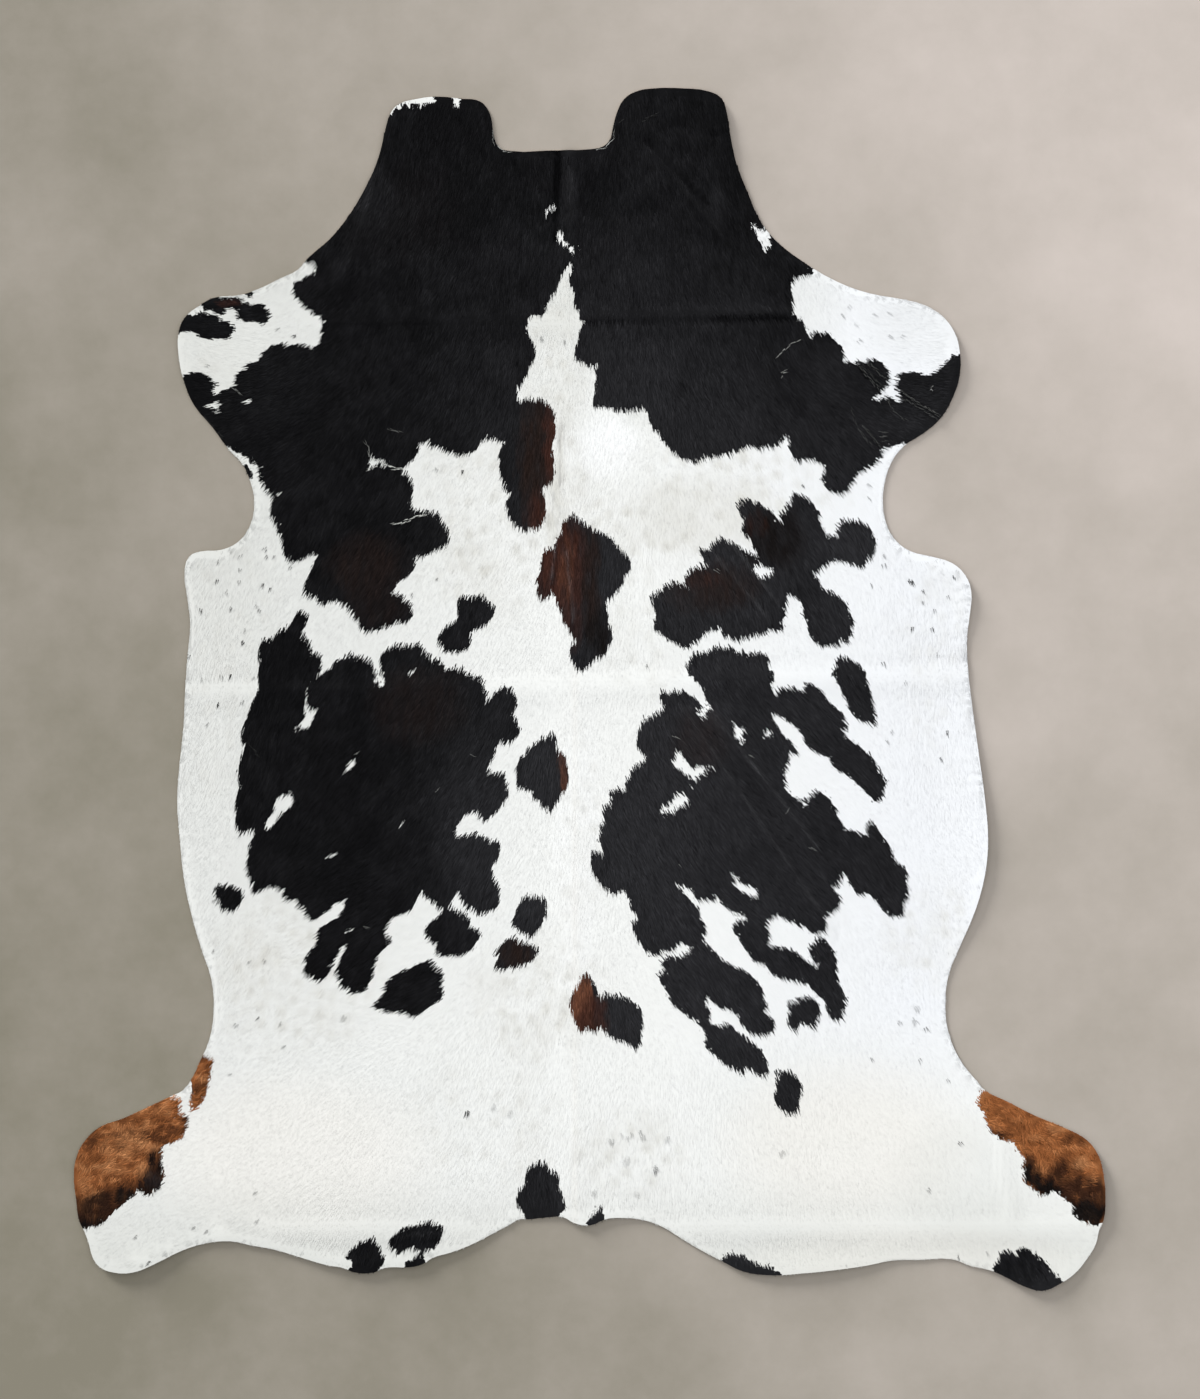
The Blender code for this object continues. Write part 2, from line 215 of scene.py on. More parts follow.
        (-59, -81), (-82, -85), (-91, -94), (-109, -106), (-113, -116), (-130, -129), (-127, -141),
        (-127, -177), (-100, -180), (-99, -193), (-88, -196), (-80, -210), (-66, -215), (-52, -193),
        (-48, -182), (-38, -182), (-37, -163), (-38, -138), (-43, -119), (-60, -103), (-57, -90),
    ],
    "hip": [
        (-10, -495), (-18, -518), (-32, -533), (-34, -562), (-22, -592), (-13, -604), (-3, -591), (8, -600),
        (21, -591), (25, -601), (37, -608), (55, -617), (70, -622), (81, -632), (90, -622), (89, -598),
        (96, -586), (94, -568), (87, -555), (75, -545), (52, -536), (25, -536), (19, -544), (6, -510),
    ],
    "tail root": [
        (-131, -903), (-121, -876), (-112, -866), (-114, -854), (-109, -841), (-101, -834), (-80, -828),
        (-69, -842), (-58, -846), (-52, -856), (-54, -874), (-47, -886), (-40, -906), (-56, -922),
        (-60, -935), (-110, -935), (-112, -923), (-122, -908),
    ],
    "tail side": [(-8, -936), (5, -915), (20, -908), (25, -911), (25, -930), (10, -945)],
    "right rump rim": [
        (232, -992), (249, -987), (271, -992), (289, -1004), (315, -1009), (336, -1020), (330, -1035),
        (270, -1030), (225, -1005),
    ],
    "left rump rim": [
        (-354, -976), (-350, -960), (-342, -953), (-326, -943), (-300, -937), (-281, -930), (-264, -936),
        (-253, -952), (-264, -968), (-289, -986), (-302, -980), (-314, -977), (-336, -990), (-340, -978),
    ],
    "left rump corner": [
        (-327, -1010), (-318, -997), (-302, -990), (-288, -988), (-286, -1000), (-290, -1020),
        (-330, -1020),
    ],
    "left hind inner": [
        (-422, -1012), (-413, -1005), (-426, -989), (-417, -980), (-401, -969), (-383, -959), (-374, -969),
        (-365, -975), (-365, -984), (-355, -997), (-369, -1013), (-370, -1030), (-425, -1030),
    ],
    "right sole": [
        (706, -1015), (716, -995), (718, -986), (728, -980), (745, -990), (745, -981), (751, -976),
        (774, -983), (800, -1004), (806, -1016), (830, -1031), (820, -1060), (760, -1065), (700, -1030),
    ],
}

gingerPatches = {
    "right hock": [
        (691, -702), (683, -705), (679, -717), (677, -726), (689, -742), (698, -765), (701, -777),
        (719, -789), (741, -792), (747, -804), (763, -821), (756, -828), (762, -851), (753, -856),
        (771, -872), (792, -886), (812, -877), (827, -889), (848, -901), (843, -907), (852, -928),
        (877, -935), (895, -931), (920, -930), (930, -840), (890, -770), (800, -735), (700, -690),
    ],
    "left hock": [
        (-730, -711), (-713, -719), (-716, -737), (-726, -746), (-701, -740), (-704, -770), (-716, -790),
        (-741, -795), (-751, -805), (-745, -819), (-750, -835), (-742, -838), (-747, -870), (-756, -879),
        (-777, -887), (-786, -872), (-800, -891), (-825, -907), (-849, -934), (-880, -945), (-920, -930),
        (-930, -830), (-890, -750), (-800, -720),
    ],
    "left stifle": [
        (-673, -639), (-661, -648), (-660, -660), (-668, -701), (-679, -728), (-694, -740), (-698, -734),
        (-700, -716), (-691, -696), (-697, -686), (-705, -670), (-690, -630),
    ],
}

whiteGaps = {
    "left neck tip": [
        (-350, 1010), (-346, 1005), (-339, 1014), (-333, 1011), (-324, 1022), (-312, 1016), (-302, 1023),
        (-293, 1016), (-286, 1022), (-270, 1026), (-273, 1035), (-300, 1045), (-350, 1030),
    ],
    "left neck nick": [
        (-242, 1040), (-239, 1025), (-234, 1019), (-231, 1008), (-226, 1018), (-224, 1030),
    ],
    "withers tick": [(-70, 843), (-59, 847), (-58, 840), (-71, 833), (-76, 823), (-79, 820), (-75, 834)],
    "withers hook": [
        (-54, 799), (-44, 791), (-46, 784), (-42, 778), (-30, 772), (-16, 776), (-24, 766), (-32, 755),
        (-41, 770), (-53, 779), (-58, 795),
    ],
    "right shoulder notch": [
        (280, 820), (286, 809), (297, 801), (310, 802), (318, 795), (314, 783), (317, 778), (311, 770),
        (307, 757), (302, 772), (296, 788), (288, 799),
    ],
    "left foreleg slot": [
        (-680, 498), (-666, 496), (-655, 499), (-652, 507), (-650, 499), (-648, 486), (-645, 479),
        (-652, 487), (-661, 491), (-671, 494),
    ],
    "left foreleg dot": [(-605, 504), (-600, 507), (-593, 501), (-597, 496), (-604, 499)],
    "left shoulder star": [
        (-384, 406), (-375, 401), (-365, 398), (-356, 393), (-350, 390), (-357, 389), (-367, 391),
        (-375, 386), (-388, 384), (-384, 394),
    ],
    "left shoulder wisp": [(-552, 335), (-544, 343), (-532, 342), (-544, 338)],
    "left shoulder fleck": [(-369, 174), (-364, 176), (-362, 172), (-367, 170)],
    "right foreleg crescent": [(600, 526), (596, 528), (595, 522), (598, 520)],
    "right loin": [
        (285, 210), (294, 194), (317, 196), (322, 208), (314, 211), (303, 213), (297, 218), (292, 214),
    ],
    "right flank upper": [
        (251, -60), (257, -62), (263, -70), (276, -73), (266, -78), (270, -93), (261, -94), (254, -78),
    ],
    "right flank speck": [(314, -70), (320, -78), (316, -85), (308, -84), (304, -81), (310, -75)],
    "right flank fork": [
        (149, -106), (160, -113), (173, -134), (185, -138), (202, -138), (213, -136), (224, -140),
        (207, -141), (202, -147), (188, -154), (185, -163), (176, -153), (155, -140), (140, -131),
        (149, -124), (152, -116),
    ],
    "right flank dash": [(171, -169), (183, -169), (177, -172)],
    "right flank hook": [
        (149, -185), (160, -185), (167, -184), (176, -200), (161, -203), (151, -212), (143, -218),
        (117, -218), (134, -205), (146, -197),
    ],
    "right flank lower": [
        (250, -322), (257, -327), (261, -338), (276, -343), (295, -350), (298, -361), (292, -369),
        (269, -356), (249, -343), (257, -340), (254, -331),
    ],
    "right flank nib": [(368, -199), (374, -197), (381, -205), (374, -203)],
    "left flank seam": [
        (-488, 11), (-493, 3), (-497, -7), (-497, -28), (-499, -50), (-502, -57), (-519, -70), (-507, -72),
        (-497, -66), (-488, -67), (-484, -54), (-475, -42), (-485, -38), (-493, -34), (-494, -7), (-491, 3),
    ],
    "left flank eye": [
        (-543, -186), (-534, -188), (-522, -182), (-515, -196), (-522, -209), (-543, -222), (-550, -234),
        (-559, -247), (-565, -243), (-568, -232), (-562, -224), (-552, -216), (-551, -200),
    ],
    "left flank streak": [
        (-428, -147), (-423, -134), (-416, -124), (-407, -123), (-410, -131), (-417, -141),
    ],
    "left flank wisp": [
        (-467, -298), (-456, -294), (-448, -290), (-441, -286), (-439, -289), (-447, -294), (-457, -297),
    ],
    "left flank tick": [(-334, -241), (-330, -236), (-326, -234), (-328, -239)],
    "left flank curl": [(-320, 27), (-312, 31), (-304, 34), (-308, 27)],
    "left flank lower": [(-427, -425), (-420, -420), (-408, -418), (-413, -422), (-420, -425)],
    "left flank thread": [(-424, -375), (-417, -374), (-410, -376), (-417, -377)],
}

darkIslands = {
    "left toes": [
        (-719, 625), (-709, 649), (-702, 654), (-689, 650), (-679, 660), (-658, 653), (-637, 644),
        (-628, 640), (-620, 626), (-629, 619), (-623, 609), (-646, 611), (-670, 609), (-693, 624),
        (-706, 627), (-718, 620),
    ],
    "left pastern": [
        (-678, 673), (-666, 682), (-652, 684), (-637, 686), (-612, 683), (-600, 673), (-589, 670),
        (-582, 674), (-563, 665), (-557, 650), (-566, 636), (-575, 636), (-586, 642), (-600, 639),
        (-617, 650), (-619, 664), (-637, 667), (-637, 654), (-656, 657), (-674, 667),
    ],
    "left pastern tuft": [(-606, 690), (-598, 694), (-588, 695), (-589, 689), (-596, 681), (-599, 687)],
    "left elbow": [(-606, 391), (-597, 392), (-590, 377), (-591, 364), (-597, 370), (-605, 383)],
}

# Where dark hair turns brown, ginger or black, or slate grey with painted sheen: middle, half sizes,
# strength, tone.
tints = [
    ("withers patch", -88, 400, 40, 130, 0.8, "bark"),
    ("withers edge", -66, 430, 13, 90, 0.9, "russet"),
    ("withers edge low", -86, 305, 24, 45, 0.8, "russet"),
    ("neck left", -330, 830, 120, 90, 0.04, "bark"),
    ("left neck edge", -378, 858, 36, 70, 0.35, "slate"),
    ("neck band", -28, 880, 10, 70, 0.25, "slate"),
    ("right sole", 750, -1010, 70, 34, 0.7, "black"),
    ("right neck gleam", 226, 848, 16, 44, 0.35, "slate"),
    ("left elbow field", -390, 215, 70, 60, 0.5, "bark"),
    ("left elbow low", -372, 140, 60, 34, 0.3, "bark"),
    ("left pastern", -630, 675, 24, 8, 0.5, "russet"),
    ("left flank sheen", -195, -250, 80, 170, 0.55, "slate"),
    ("left flank middle", -300, -30, 90, 70, 0.3, "bark"),
    ("right flank sheen", 90, -200, 110, 230, 0.4, "slate"),
    ("right shoulder sheen", 70, 560, 90, 90, 0.35, "slate"),
    ("loin lobe", 462, 245, 44, 50, 0.7, "slate"),
    ("loin lobe low", 430, 130, 40, 60, 0.3, "slate"),
    ("spine", -52, 225, 52, 95, 0.9, "russet"),
    ("spine tail", -38, 130, 30, 70, 0.6, "russet"),
    ("spine gleam", -40, 205, 13, 60, 0.3, "chestnut"),
    ("spine ridge", 4, 190, 18, 110, 0.7, "bark"),
    ("spine right", 46, 200, 30, 60, 0.25, "slate"),
    ("spine foot", 18, 90, 26, 50, 0.7, "soot"),
    ("loin upper", 318, 262, 62, 60, 0.75, "soot"),
    ("loin upper red", 292, 286, 22, 24, 0.2, "russet"),
    ("loin lower", 210, 178, 90, 46, 0.6, "bark"),
    ("loin lower red", 200, 190, 34, 16, 0.25, "russet"),
    ("flank back", 195, -90, 50, 60, 0.3, "bark"),
    ("by the spine sheen", -84, -150, 40, 60, 0.8, "slate"),
    ("spine side", -44, -145, 12, 50, 0.45, "chestnut"),
    ("back spot upper", -100, -395, 44, 40, 0.6, "slate"),
    ("back spot", -130, -462, 45, 30, 0.7, "bark"),
    ("hip sheen", 60, -570, 50, 60, 0.6, "slate"),
    ("hip ginger", -14, -548, 24, 66, 1.0, "chestnut"),
    ("hip russet", 6, -575, 28, 44, 0.8, "russet"),
    ("hip shade", -20, -588, 16, 20, 0.6, "russet"),
]
# In the ginger of the hocks: the gleam rows are painted highlights, the border sheen row painted sheen
hockTints = [
    ("right border", 706, -776, 34, 12, 0.9, "soot"),
    ("right pastern inner", 764, -828, 18, 14, 0.6, "umber"),
    ("right heel upper", 850, -880, 76, 34, 1.0, "umber"),
    ("right shank low", 812, -862, 50, 26, 0.9, "umber"),
    ("right pastern block", 774, -850, 24, 28, 1.2, "soot"),
    ("right pastern foot", 800, -876, 28, 20, 1.2, "soot"),
    ("right heel", 858, -920, 50, 26, 1.2, "soot"),
    ("right heel dusk", 888, -902, 36, 20, 0.4, "soot"),
    ("right smudge", 850, -788, 26, 13, 0.6, "umber"),
    ("right smudge end", 836, -835, 34, 14, 0.7, "umber"),
    ("right gleam", 820, -765, 20, 14, 0.5, "strawHighlight"),
    ("right gleam low", 866, -828, 24, 12, 0.4, "strawHighlight"),
    ("left heel", -868, -934, 74, 32, 1.2, "soot"),
    ("left heel upper", -842, -902, 80, 30, 1.0, "umber"),
    ("left border", -752, -836, 22, 44, 1.2, "soot"),
    ("left border foot", -766, -866, 30, 30, 1.25, "soot"),
    ("left border sheen", -758, -858, 18, 22, 0.5, "slate"),
    ("left border low", -796, -888, 46, 24, 1.1, "soot"),
    ("left knee", -706, -762, 12, 36, 0.8, "umber"),
    ("left knee low", -730, -806, 26, 14, 0.7, "umber"),
    ("left gleam", -806, -790, 40, 30, 0.4, "strawHighlight"),
    ("left dusk", -800, -810, 110, 90, 0.22, "umber"),
    ("left heel dusk", -856, -900, 60, 24, 0.4, "soot"),
    ("stifle", -668, -700, 12, 50, 0.5, "umber"),
]

# Grey hairs in the white: middle, length, strength.
flecks = [
    (-563, 231, 8, 0.5), (-567, 243, 8, 0.5), (-611, 231, 7, 0.4), (-649, 220, 7, 0.4), (-653, 187, 9, 0.8),
    (-612, 185, 7, 0.4), (-611, 206, 7, 0.4), (-571, 178, 10, 0.7), (-559, 171, 9, 0.7),
    (-635, 168, 7, 0.3), (-523, 211, 8, 0.5), (-681, 133, 12, 0.8), (-628, 138, 9, 0.5),
    (-584, 143, 7, 0.3), (-577, 134, 8, 0.5), (-604, 101, 7, 0.3), (-606, 80, 10, 0.8), (-700, 56, 10, 0.9),
    (-644, 19, 9, 0.5), (-628, 20, 12, 1.0), (-588, 19, 6, 0.3), (-677, 16, 7, 0.3), (-649, -30, 10, 0.8),
    (-607, -25, 9, 0.5), (-668, -63, 8, 0.4), (-552, 231, 7, 0.4), (-657, -372, 8, 0.35),
    (-658, -460, 8, 0.35), (-578, -576, 9, 0.5), (-618, -589, 9, 0.4), (-542, -585, 8, 0.35),
    (-535, -627, 9, 0.4), (-595, -477, 9, 0.3), (-569, -474, 7, 0.3), (-628, -674, 8, 0.4),
    (-694, -943, 8, 0.4), (-670, -949, 8, 0.4), (-771, -1003, 9, 0.8), (-581, -931, 9, 0.35),
    (-584, -880, 8, 0.35), (-792, -959, 8, 0.35), (-516, 615, 9, 0.7), (-547, 629, 8, 0.4),
    (-668, 565, 7, 0.35), (-215, -744, 14, 0.75), (-432, -578, 14, 0.2), (-224, 379, 8, 0.8),
    (-268, 382, 8, 0.4), (-266, 190, 6, 0.4), (-312, 162, 7, 0.5), (100, 41, 5, 0.5), (516, 231, 8, 0.4),
    (515, 215, 9, 0.5), (562, 183, 16, 1.0), (494, 180, 8, 0.4), (583, 168, 9, 0.5), (583, 149, 7, 0.4),
    (602, 136, 8, 0.4), (564, 103, 9, 0.7), (599, 103, 9, 0.6), (514, 42, 9, 0.6), (610, 58, 8, 0.3),
    (636, 193, 7, 0.5), (627, 159, 7, 0.4), (489, 332, 8, 0.5), (551, 9, 9, 0.3), (625, -79, 11, 0.5),
    (614, -126, 12, 0.5), (521, -93, 10, 0.35), (530, -77, 8, 0.3), (590, -595, 11, 0.5),
    (542, -584, 9, 0.45), (578, -650, 9, 0.4), (492, -647, 8, 0.4), (627, -683, 8, 0.4),
    (649, -794, 9, 0.6), (593, -877, 9, 0.4), (575, -565, 22, 0.2), (569, -585, 18, 0.25),
    (645, -993, 9, 0.4), (696, -985, 12, 0.25), (65, -786, 12, 0.2), (92, -784, 14, 0.2),
    (38, -793, 14, 0.2), (62, -830, 18, 0.12), (115, -842, 16, 0.25), (136, -790, 14, 0.12),
    (83, -888, 18, 0.1), (8, -888, 22, 0.15), (-82, 610, 8, 0.4), (-44, 605, 8, 0.4), (338, -815, 20, 0.2),
    (443, 650, 10, 0.25), (500, 652, 12, 0.2), (525, 655, 12, 0.2), (527, 615, 12, 0.25),
    (473, 607, 10, 0.25), (548, 615, 10, 0.2), (467, 637, 9, 0.15), (453, 667, 9, 0.15), (373, 354, 7, 0.6),
    (489, 355, 8, 0.3), (40, -795, 16, 0.25), (56, -782, 12, 0.2), (74, -780, 12, 0.25),
    (88, -776, 12, 0.3), (66, -826, 16, 0.12), (117, -846, 16, 0.45), (139, -788, 12, 0.25),
    (-170, -735, 18, 0.12), (-140, -745, 16, 0.12),
]

# Pale hairs across the dark coat and at the cut edge, and painted highlights laid as pale locks along
# the tops of small wrinkles: ends, strength.
paleHairsAndWrinkleHighlights = [
    (369, 611, 352, 602, 0.5), (350, 600, 337, 588, 0.7), (336, 587, 325, 577, 0.5),
    (334, 552, 345, 558, 0.7), (336, 547, 332, 542, 0.4), (-322, 384, -341, 385, 1.5),
    (-340, 386, -354, 392, 1.6), (-353, 392, -366, 398, 1.4), (-366, 398, -384, 403, 1.2),
    (-372, 390, -388, 384, 1.2), (-383, 404, -385, 420, 0.5), (-386, 421, -394, 434, 0.3),
    (-284, 306, -300, 301, 1.4), (-298, 302, -316, 296, 1.4), (-314, 296, -330, 290, 1.4),
    (-328, 290, -345, 289, 1.0), (108, 1000, 122, 1006, 0.06), (92, 992, 104, 998, 0.04),
    (50, 988, 60, 995, 0.05), (-352, 456, -330, 449, 0.2), (-627, 529, -608, 513, 0.3),
    (-411, -116, -402, -108, 0.35), (-268, -180, -262, -174, 0.25), (-598, -93, -577, -118, 0.03),
    (155, -305, 162, -312, 0.3), (341, -220, 349, -210, 0.3), (384, -277, 393, -282, 0.4),
    (145, -81, 159, -86, 0.4), (276, -116, 287, -121, 0.35), (218, 210, 227, 205, 0.3),
    (-395, -415, -385, -418, 0.25), (-208, -115, -201, -118, 0.25), (601, 529, 595, 525, 0.5),
    (595, 524, 599, 519, 0.4), (469, 565, 511, 517, 0.16), (476, 567, 516, 522, 0.06),
    (485, 571, 526, 533, 0.12), (541, 521, 614, 474, 0.15), (545, 510, 611, 468, 0.10),
    (520, 508, 529, 486, 0.12), (529, 486, 556, 466, 0.08), (455, 492, 467, 457, 0.05),
    (467, 457, 490, 428, 0.08), (475, 462, 510, 420, 0.10), (507, 450, 519, 448, 0.16),
    (508, 442, 520, 441, 0.16), (510, 434, 521, 433, 0.08), (460, 387, 470, 373, 0.05),
    (-676, 470, -642, 441, 0.05), (-666, 458, -640, 436, 0.03), (-168, 978, -165, 952, 0.5),
    (-164, 950, -152, 941, 0.9), (-150, 940, -136, 939, 0.7), (14, 943, 28, 947, 0.6),
    (29, 948, 40, 961, 0.8), (41, 963, 44, 975, 0.3),
]

# Where small grey rounds show through the white: middle, half sizes, strength.
dapples = [
    (110, 340, 330, 120, 1.0), (-190, 300, 130, 190, 1.0), (90, 150, 90, 170, 0.5),
    (-60, 580, 60, 170, 0.8), (-520, -500, 160, 150, 0.9), (-90, -540, 130, 120, 0.8),
    (70, -810, 120, 80, 0.8), (-650, 60, 110, 260, 0.45), (-180, -760, 150, 110, 0.5),
    (600, -430, 90, 120, 0.45), (55, 400, 80, 90, -0.8), (620, 60, 100, 220, 0.25),
    (-720, 580, 120, 100, 0.5), (-20, -250, 60, 200, 0.4),
]

# Where the white is warmer, greyer or brighter: middle, half sizes, strength, tone.
whiteTints = [
    (450, -800, 220, 150, 0.3, "cream"), (-520, -820, 260, 150, 0.25, "cream"),
    (560, -1000, 300, 60, 0.4, "cream"), (420, -780, 240, 170, 0.17, "ash"),
    (660, -860, 130, 120, 0.3, "ash"), (200, 310, 130, 70, 0.45, "olive"), (35, 420, 55, 60, 0.4, "snow"),
    (-20, -280, 50, 260, 0.2, "snow"), (600, 640, 120, 80, 0.2, "ash"), (330, 680, 120, 110, 0.3, "ash"),
    (-60, 690, 60, 90, 0.4, "ash"), (-60, 600, 80, 150, 0.35, "ash"), (100, 500, 60, 50, 0.3, "ash"),
]

# How the hair lies: place, heading in degrees (-90 is to the tail), length of the hair in millimetres.
lie = [
    (-30, 950, -92, 12), (-20, 650, -90, 12), (-10, 300, -90, 13), (0, 0, -90, 13), (-10, -350, -90, 13),
    (-20, -650, -90, 13), (-20, -880, -90, 15), (-300, 950, -102, 12), (-420, 800, -118, 12),
    (230, 950, -78, 12), (360, 780, -62, 12), (-350, 650, -112, 13), (-500, 600, -140, 12),
    (-640, 590, 172, 10), (-700, 600, 168, 9), (-600, 450, -155, 11), (-350, 400, -118, 14),
    (-600, 280, -118, 14), (350, 650, -68, 13), (470, 560, -38, 12), (600, 530, -8, 10), (640, 550, 2, 9),
    (560, 400, -40, 11), (350, 400, -62, 14), (560, 250, -72, 14), (-200, 150, -106, 13),
    (-400, 150, -122, 14), (-620, 120, -102, 15), (-250, -100, -118, 13), (-420, -150, -128, 14),
    (-640, -150, -104, 15), (-200, -350, -116, 13), (-430, -350, -146, 14), (-620, -400, -118, 14),
    (-330, -520, -148, 13), (-500, -560, -132, 14), (200, 150, -72, 13), (400, 150, -60, 14),
    (600, 100, -84, 15), (250, -100, -52, 13), (420, -120, -44, 14), (620, -150, -74, 15),
    (120, -300, -58, 13), (300, -350, -46, 14), (480, -330, -50, 14), (600, -450, -64, 14),
    (180, -520, -50, 13), (400, -550, -58, 14), (-150, -700, -104, 13), (-350, -800, -116, 13),
    (-550, -750, -128, 12), (-700, -800, -138, 11), (-830, -900, -136, 10), (-400, -960, -112, 12),
    (150, -750, -80, 13), (340, -720, -72, 13), (560, -760, -58, 12), (700, -780, -48, 11),
    (850, -880, -46, 10), (300, -980, -70, 12), (700, -980, -62, 11),
]

# Soft ridges and troughs over the solid's own folds: ends, height (a trough is below 0), half width, and
# the strength of a painted highlight on dark hair along the crest (below 0, of painted shade there).
creases = [
    ("neck trough", (-62, 955), (-58, 780), -3.0, 16, 0),
    ("neck ridge", (-34, 955), (-34, 770), 3.0, 18, 0.08),
    ("neck shade", (-55, 948), (-60, 785), -1.0, 11, -2.0),
    ("right tab shade", (212, 970), (242, 976), -1.0, 8, -0.7),
    ("left tab shade", (-372, 936), (-318, 944), -0.6, 8, -0.4),
    ("withers trough", (-42, 500), (-40, 290), -0.8, 16, 0),
    ("spine line", (-28, 60), (-26, -900), -0.15, 8, 0),
    ("spine patch ruck", (-58, 262), (-66, 190), 1.0, 6, 0.2),
    ("spine patch ruck low", (-40, 240), (-28, 120), 1.0, 8, 0.2),
    ("right neck ruck", (106, 944), (237, 785), 2.0, 9, 0.03),
    ("right neck shade", (96, 962), (205, 850), -0.8, 6, -0.7),
    ("right neck ruck low", (168, 932), (246, 846), 1.5, 8, 0.03),
    ("left neck ruck", (-430, 720), (-378, 880), 2.0, 14, 0.03),
    ("right foreleg ruck 1", (469, 565), (511, 517), 1.4, 5, 0),
    ("right foreleg ruck 2", (485, 571), (526, 533), 1.2, 5, 0),
    ("right foreleg ruck 3", (541, 521), (614, 474), 1.6, 5, 0),
    ("right foreleg ruck 4", (545, 510), (611, 468), 1.2, 5, 0),
    ("right foreleg ruck 5", (475, 462), (510, 420), 1.2, 5, 0),
    ("right foreleg shade 1", (474, 557), (506, 519), -0.8, 4, -0.9),
    ("right foreleg shade 2", (545, 515), (612, 471), -0.8, 4, -0.9),
    ("left foreleg ruck", (-676, 470), (-640, 440), 1.2, 5, 0),
    ("pack line left shoulder", (-440, 650), (-80, 656), 0.5, 12, 0),
    ("pack shade left shoulder", (-440, 637), (-85, 643), -0.3, 9, -0.3),
    ("pack line right shoulder", (10, 658), (360, 664), 1.1, 12, 0.01),
    ("pack shade right shoulder", (-12, 641), (370, 648), -0.8, 9, -0.8),
    ("pack line middle left", (-720, 3), (-120, 14), 0.25, 8, 0.03),
    ("pack shade middle left", (-720, -10), (-480, -6), -0.5, 9, 0),
    ("pack line middle right", (120, 26), (480, 31), 0.25, 9, 0.04),
    ("pack shade middle right", (490, 30), (700, 33), -0.4, 9, 0),
    ("pack line rump", (-660, -634), (-300, -640), 0.15, 9, 0),
    ("pack line hind", (330, -946), (820, -925), 0.15, 9, 0),
    ("left rump rim ruck", (-342, -957), (-258, -952), 1.0, 5, 0.2),
    ("left hind ruck", (-690, -760), (-610, -930), 0.3, 14, 0),
    ("right hind ruck", (707, -784), (735, -930), 0.3, 12, 0),
    ("right loin ruck", (249, 253), (333, 144), 1.6, 8, 0.2),
    ("right loin ruck low", (222, 230), (314, 121), 1.4, 8, 0.16),
    ("right flank ruck", (207, -33), (400, -277), 1.8, 9, 0.16),
    ("right flank ruck low", (160, -28), (420, -411), 1.6, 9, 0.1),
    ("belly left", (-690, 150), (-640, -120), 0.7, 40, 0),
    ("belly right", (610, 120), (640, -160), 0.7, 40, 0),
    ("left hind rim", (-780, -1000), (-640, -952), 2.0, 28, 0),
    ("left rump rim", (-640, -952), (-430, -1000), 2.2, 28, 0),
    ("right belly rim", (708, 60), (704, -320), 1.6, 30, 0),
    ("right low rim", (694, -330), (660, -480), 2.0, 30, 0),
    ("right neck rim", (248, 960), (300, 800), 1.2, 26, 0),
]
onSkin = 8     # creases this wide are in the skin, narrower ones only in the hair
inHair = 14    # up to this half width the hair is turned by them as well


def tone(red, green, blue):
    # a colour given from 0 to 255, as the shader's linear values
    return np.array([((c / 255 + 0.055) / 1.055) ** 2.4 for c in (red, green, blue)])


tones = {
    "white": tone(227, 228, 225), "cream": tone(236, 228, 217), "ash": tone(197, 198, 192),
    "cool": tone(224, 227, 234), "snow": tone(246, 247, 248), "olive": tone(205, 204, 197),
    "grey hair": tone(112, 110, 110), "black": tone(16, 16, 17), "creaseShade": tone(6, 6, 7),
    "slate": tone(41, 41, 43), "crestHighlight": tone(86, 86, 88), "soot": tone(19, 16, 15),
    "bark": tone(36, 27, 24), "russet": tone(56, 34, 28), "chestnut": tone(97, 61, 45),
    "ginger": tone(137, 83, 47), "strawHighlight": tone(178, 124, 82), "umber": tone(50, 30, 20),
}


def addObject(name, data):
    made = bpy.data.objects.new(name, data)
    bpy.context.scene.collection.objects.link(made)
    return made


def meshFrom(bm, name):
    mesh = bpy.data.meshes.new(name)
    bm.to_mesh(mesh)
    bm.free()
    return mesh


def grownMesh(holder):
    # the mesh that an object's modifiers leave; the object goes
    spent = holder.data
    grown = bpy.data.meshes.new_from_object(holder.evaluated_get(bpy.context.evaluated_depsgraph_get()))
    bpy.data.objects.remove(holder)
    bpy.data.meshes.remove(spent)
    return grown


def softNoise(spots, size, seed):
    # smooth value noise over the plane, -1 to 1; round noise is turned so that its cells don't line up
    table = np.random.default_rng(seed).uniform(-1, 1, (256, 256))
    if np.isscalar(size):
        spots = spots @ [[math.cos(seed), math.sin(seed)], [-math.sin(seed), math.cos(seed)]]
    cell = spots / np.array(size)
    corner = np.floor(cell)
    u, v = ((cell - corner) ** 2 * (3 - 2 * (cell - corner))).T
    i, j = corner.astype(int).T & 255
    nextI, nextJ = (i + 1) & 255, (j + 1) & 255
    low = table[i, j] * (1 - u) + table[nextI, j] * u
    high = table[i, nextJ] * (1 - u) + table[nextI, nextJ] * u
    return low * (1 - v) + high * v


def roundSpots(spots, size, seed):
    # soft round spots of uneven strength, one to a cell of the plane, 0 to 1
    dice = np.random.default_rng(seed)
    offset, weight = dice.uniform(0.1, 0.9, (2, 64, 64)), dice.uniform(0.2, 1, (64, 64))
    share = np.zeros(len(spots))
    for step in np.ndindex(3, 3):
        cell = np.floor(spots / size).astype(int) + np.array(step) - 1
        i, j = cell.T & 63
        away = np.linalg.norm(spots / size - cell - offset[:, i, j].T, axis=1)
        share = np.maximum(share, weight[i, j] * np.clip(1.3 - away * 2.7, 0, 1))
    return share


def roundedLoop(loop):
    # the loop with its corners softened by one round of corner cutting
    corners = np.array(loop, float)
    onward = np.roll(corners, -1, 0)
    return np.stack([corners * 0.78 + onward * 0.22, corners * 0.22 + onward * 0.78], 1).reshape(-1, 2)


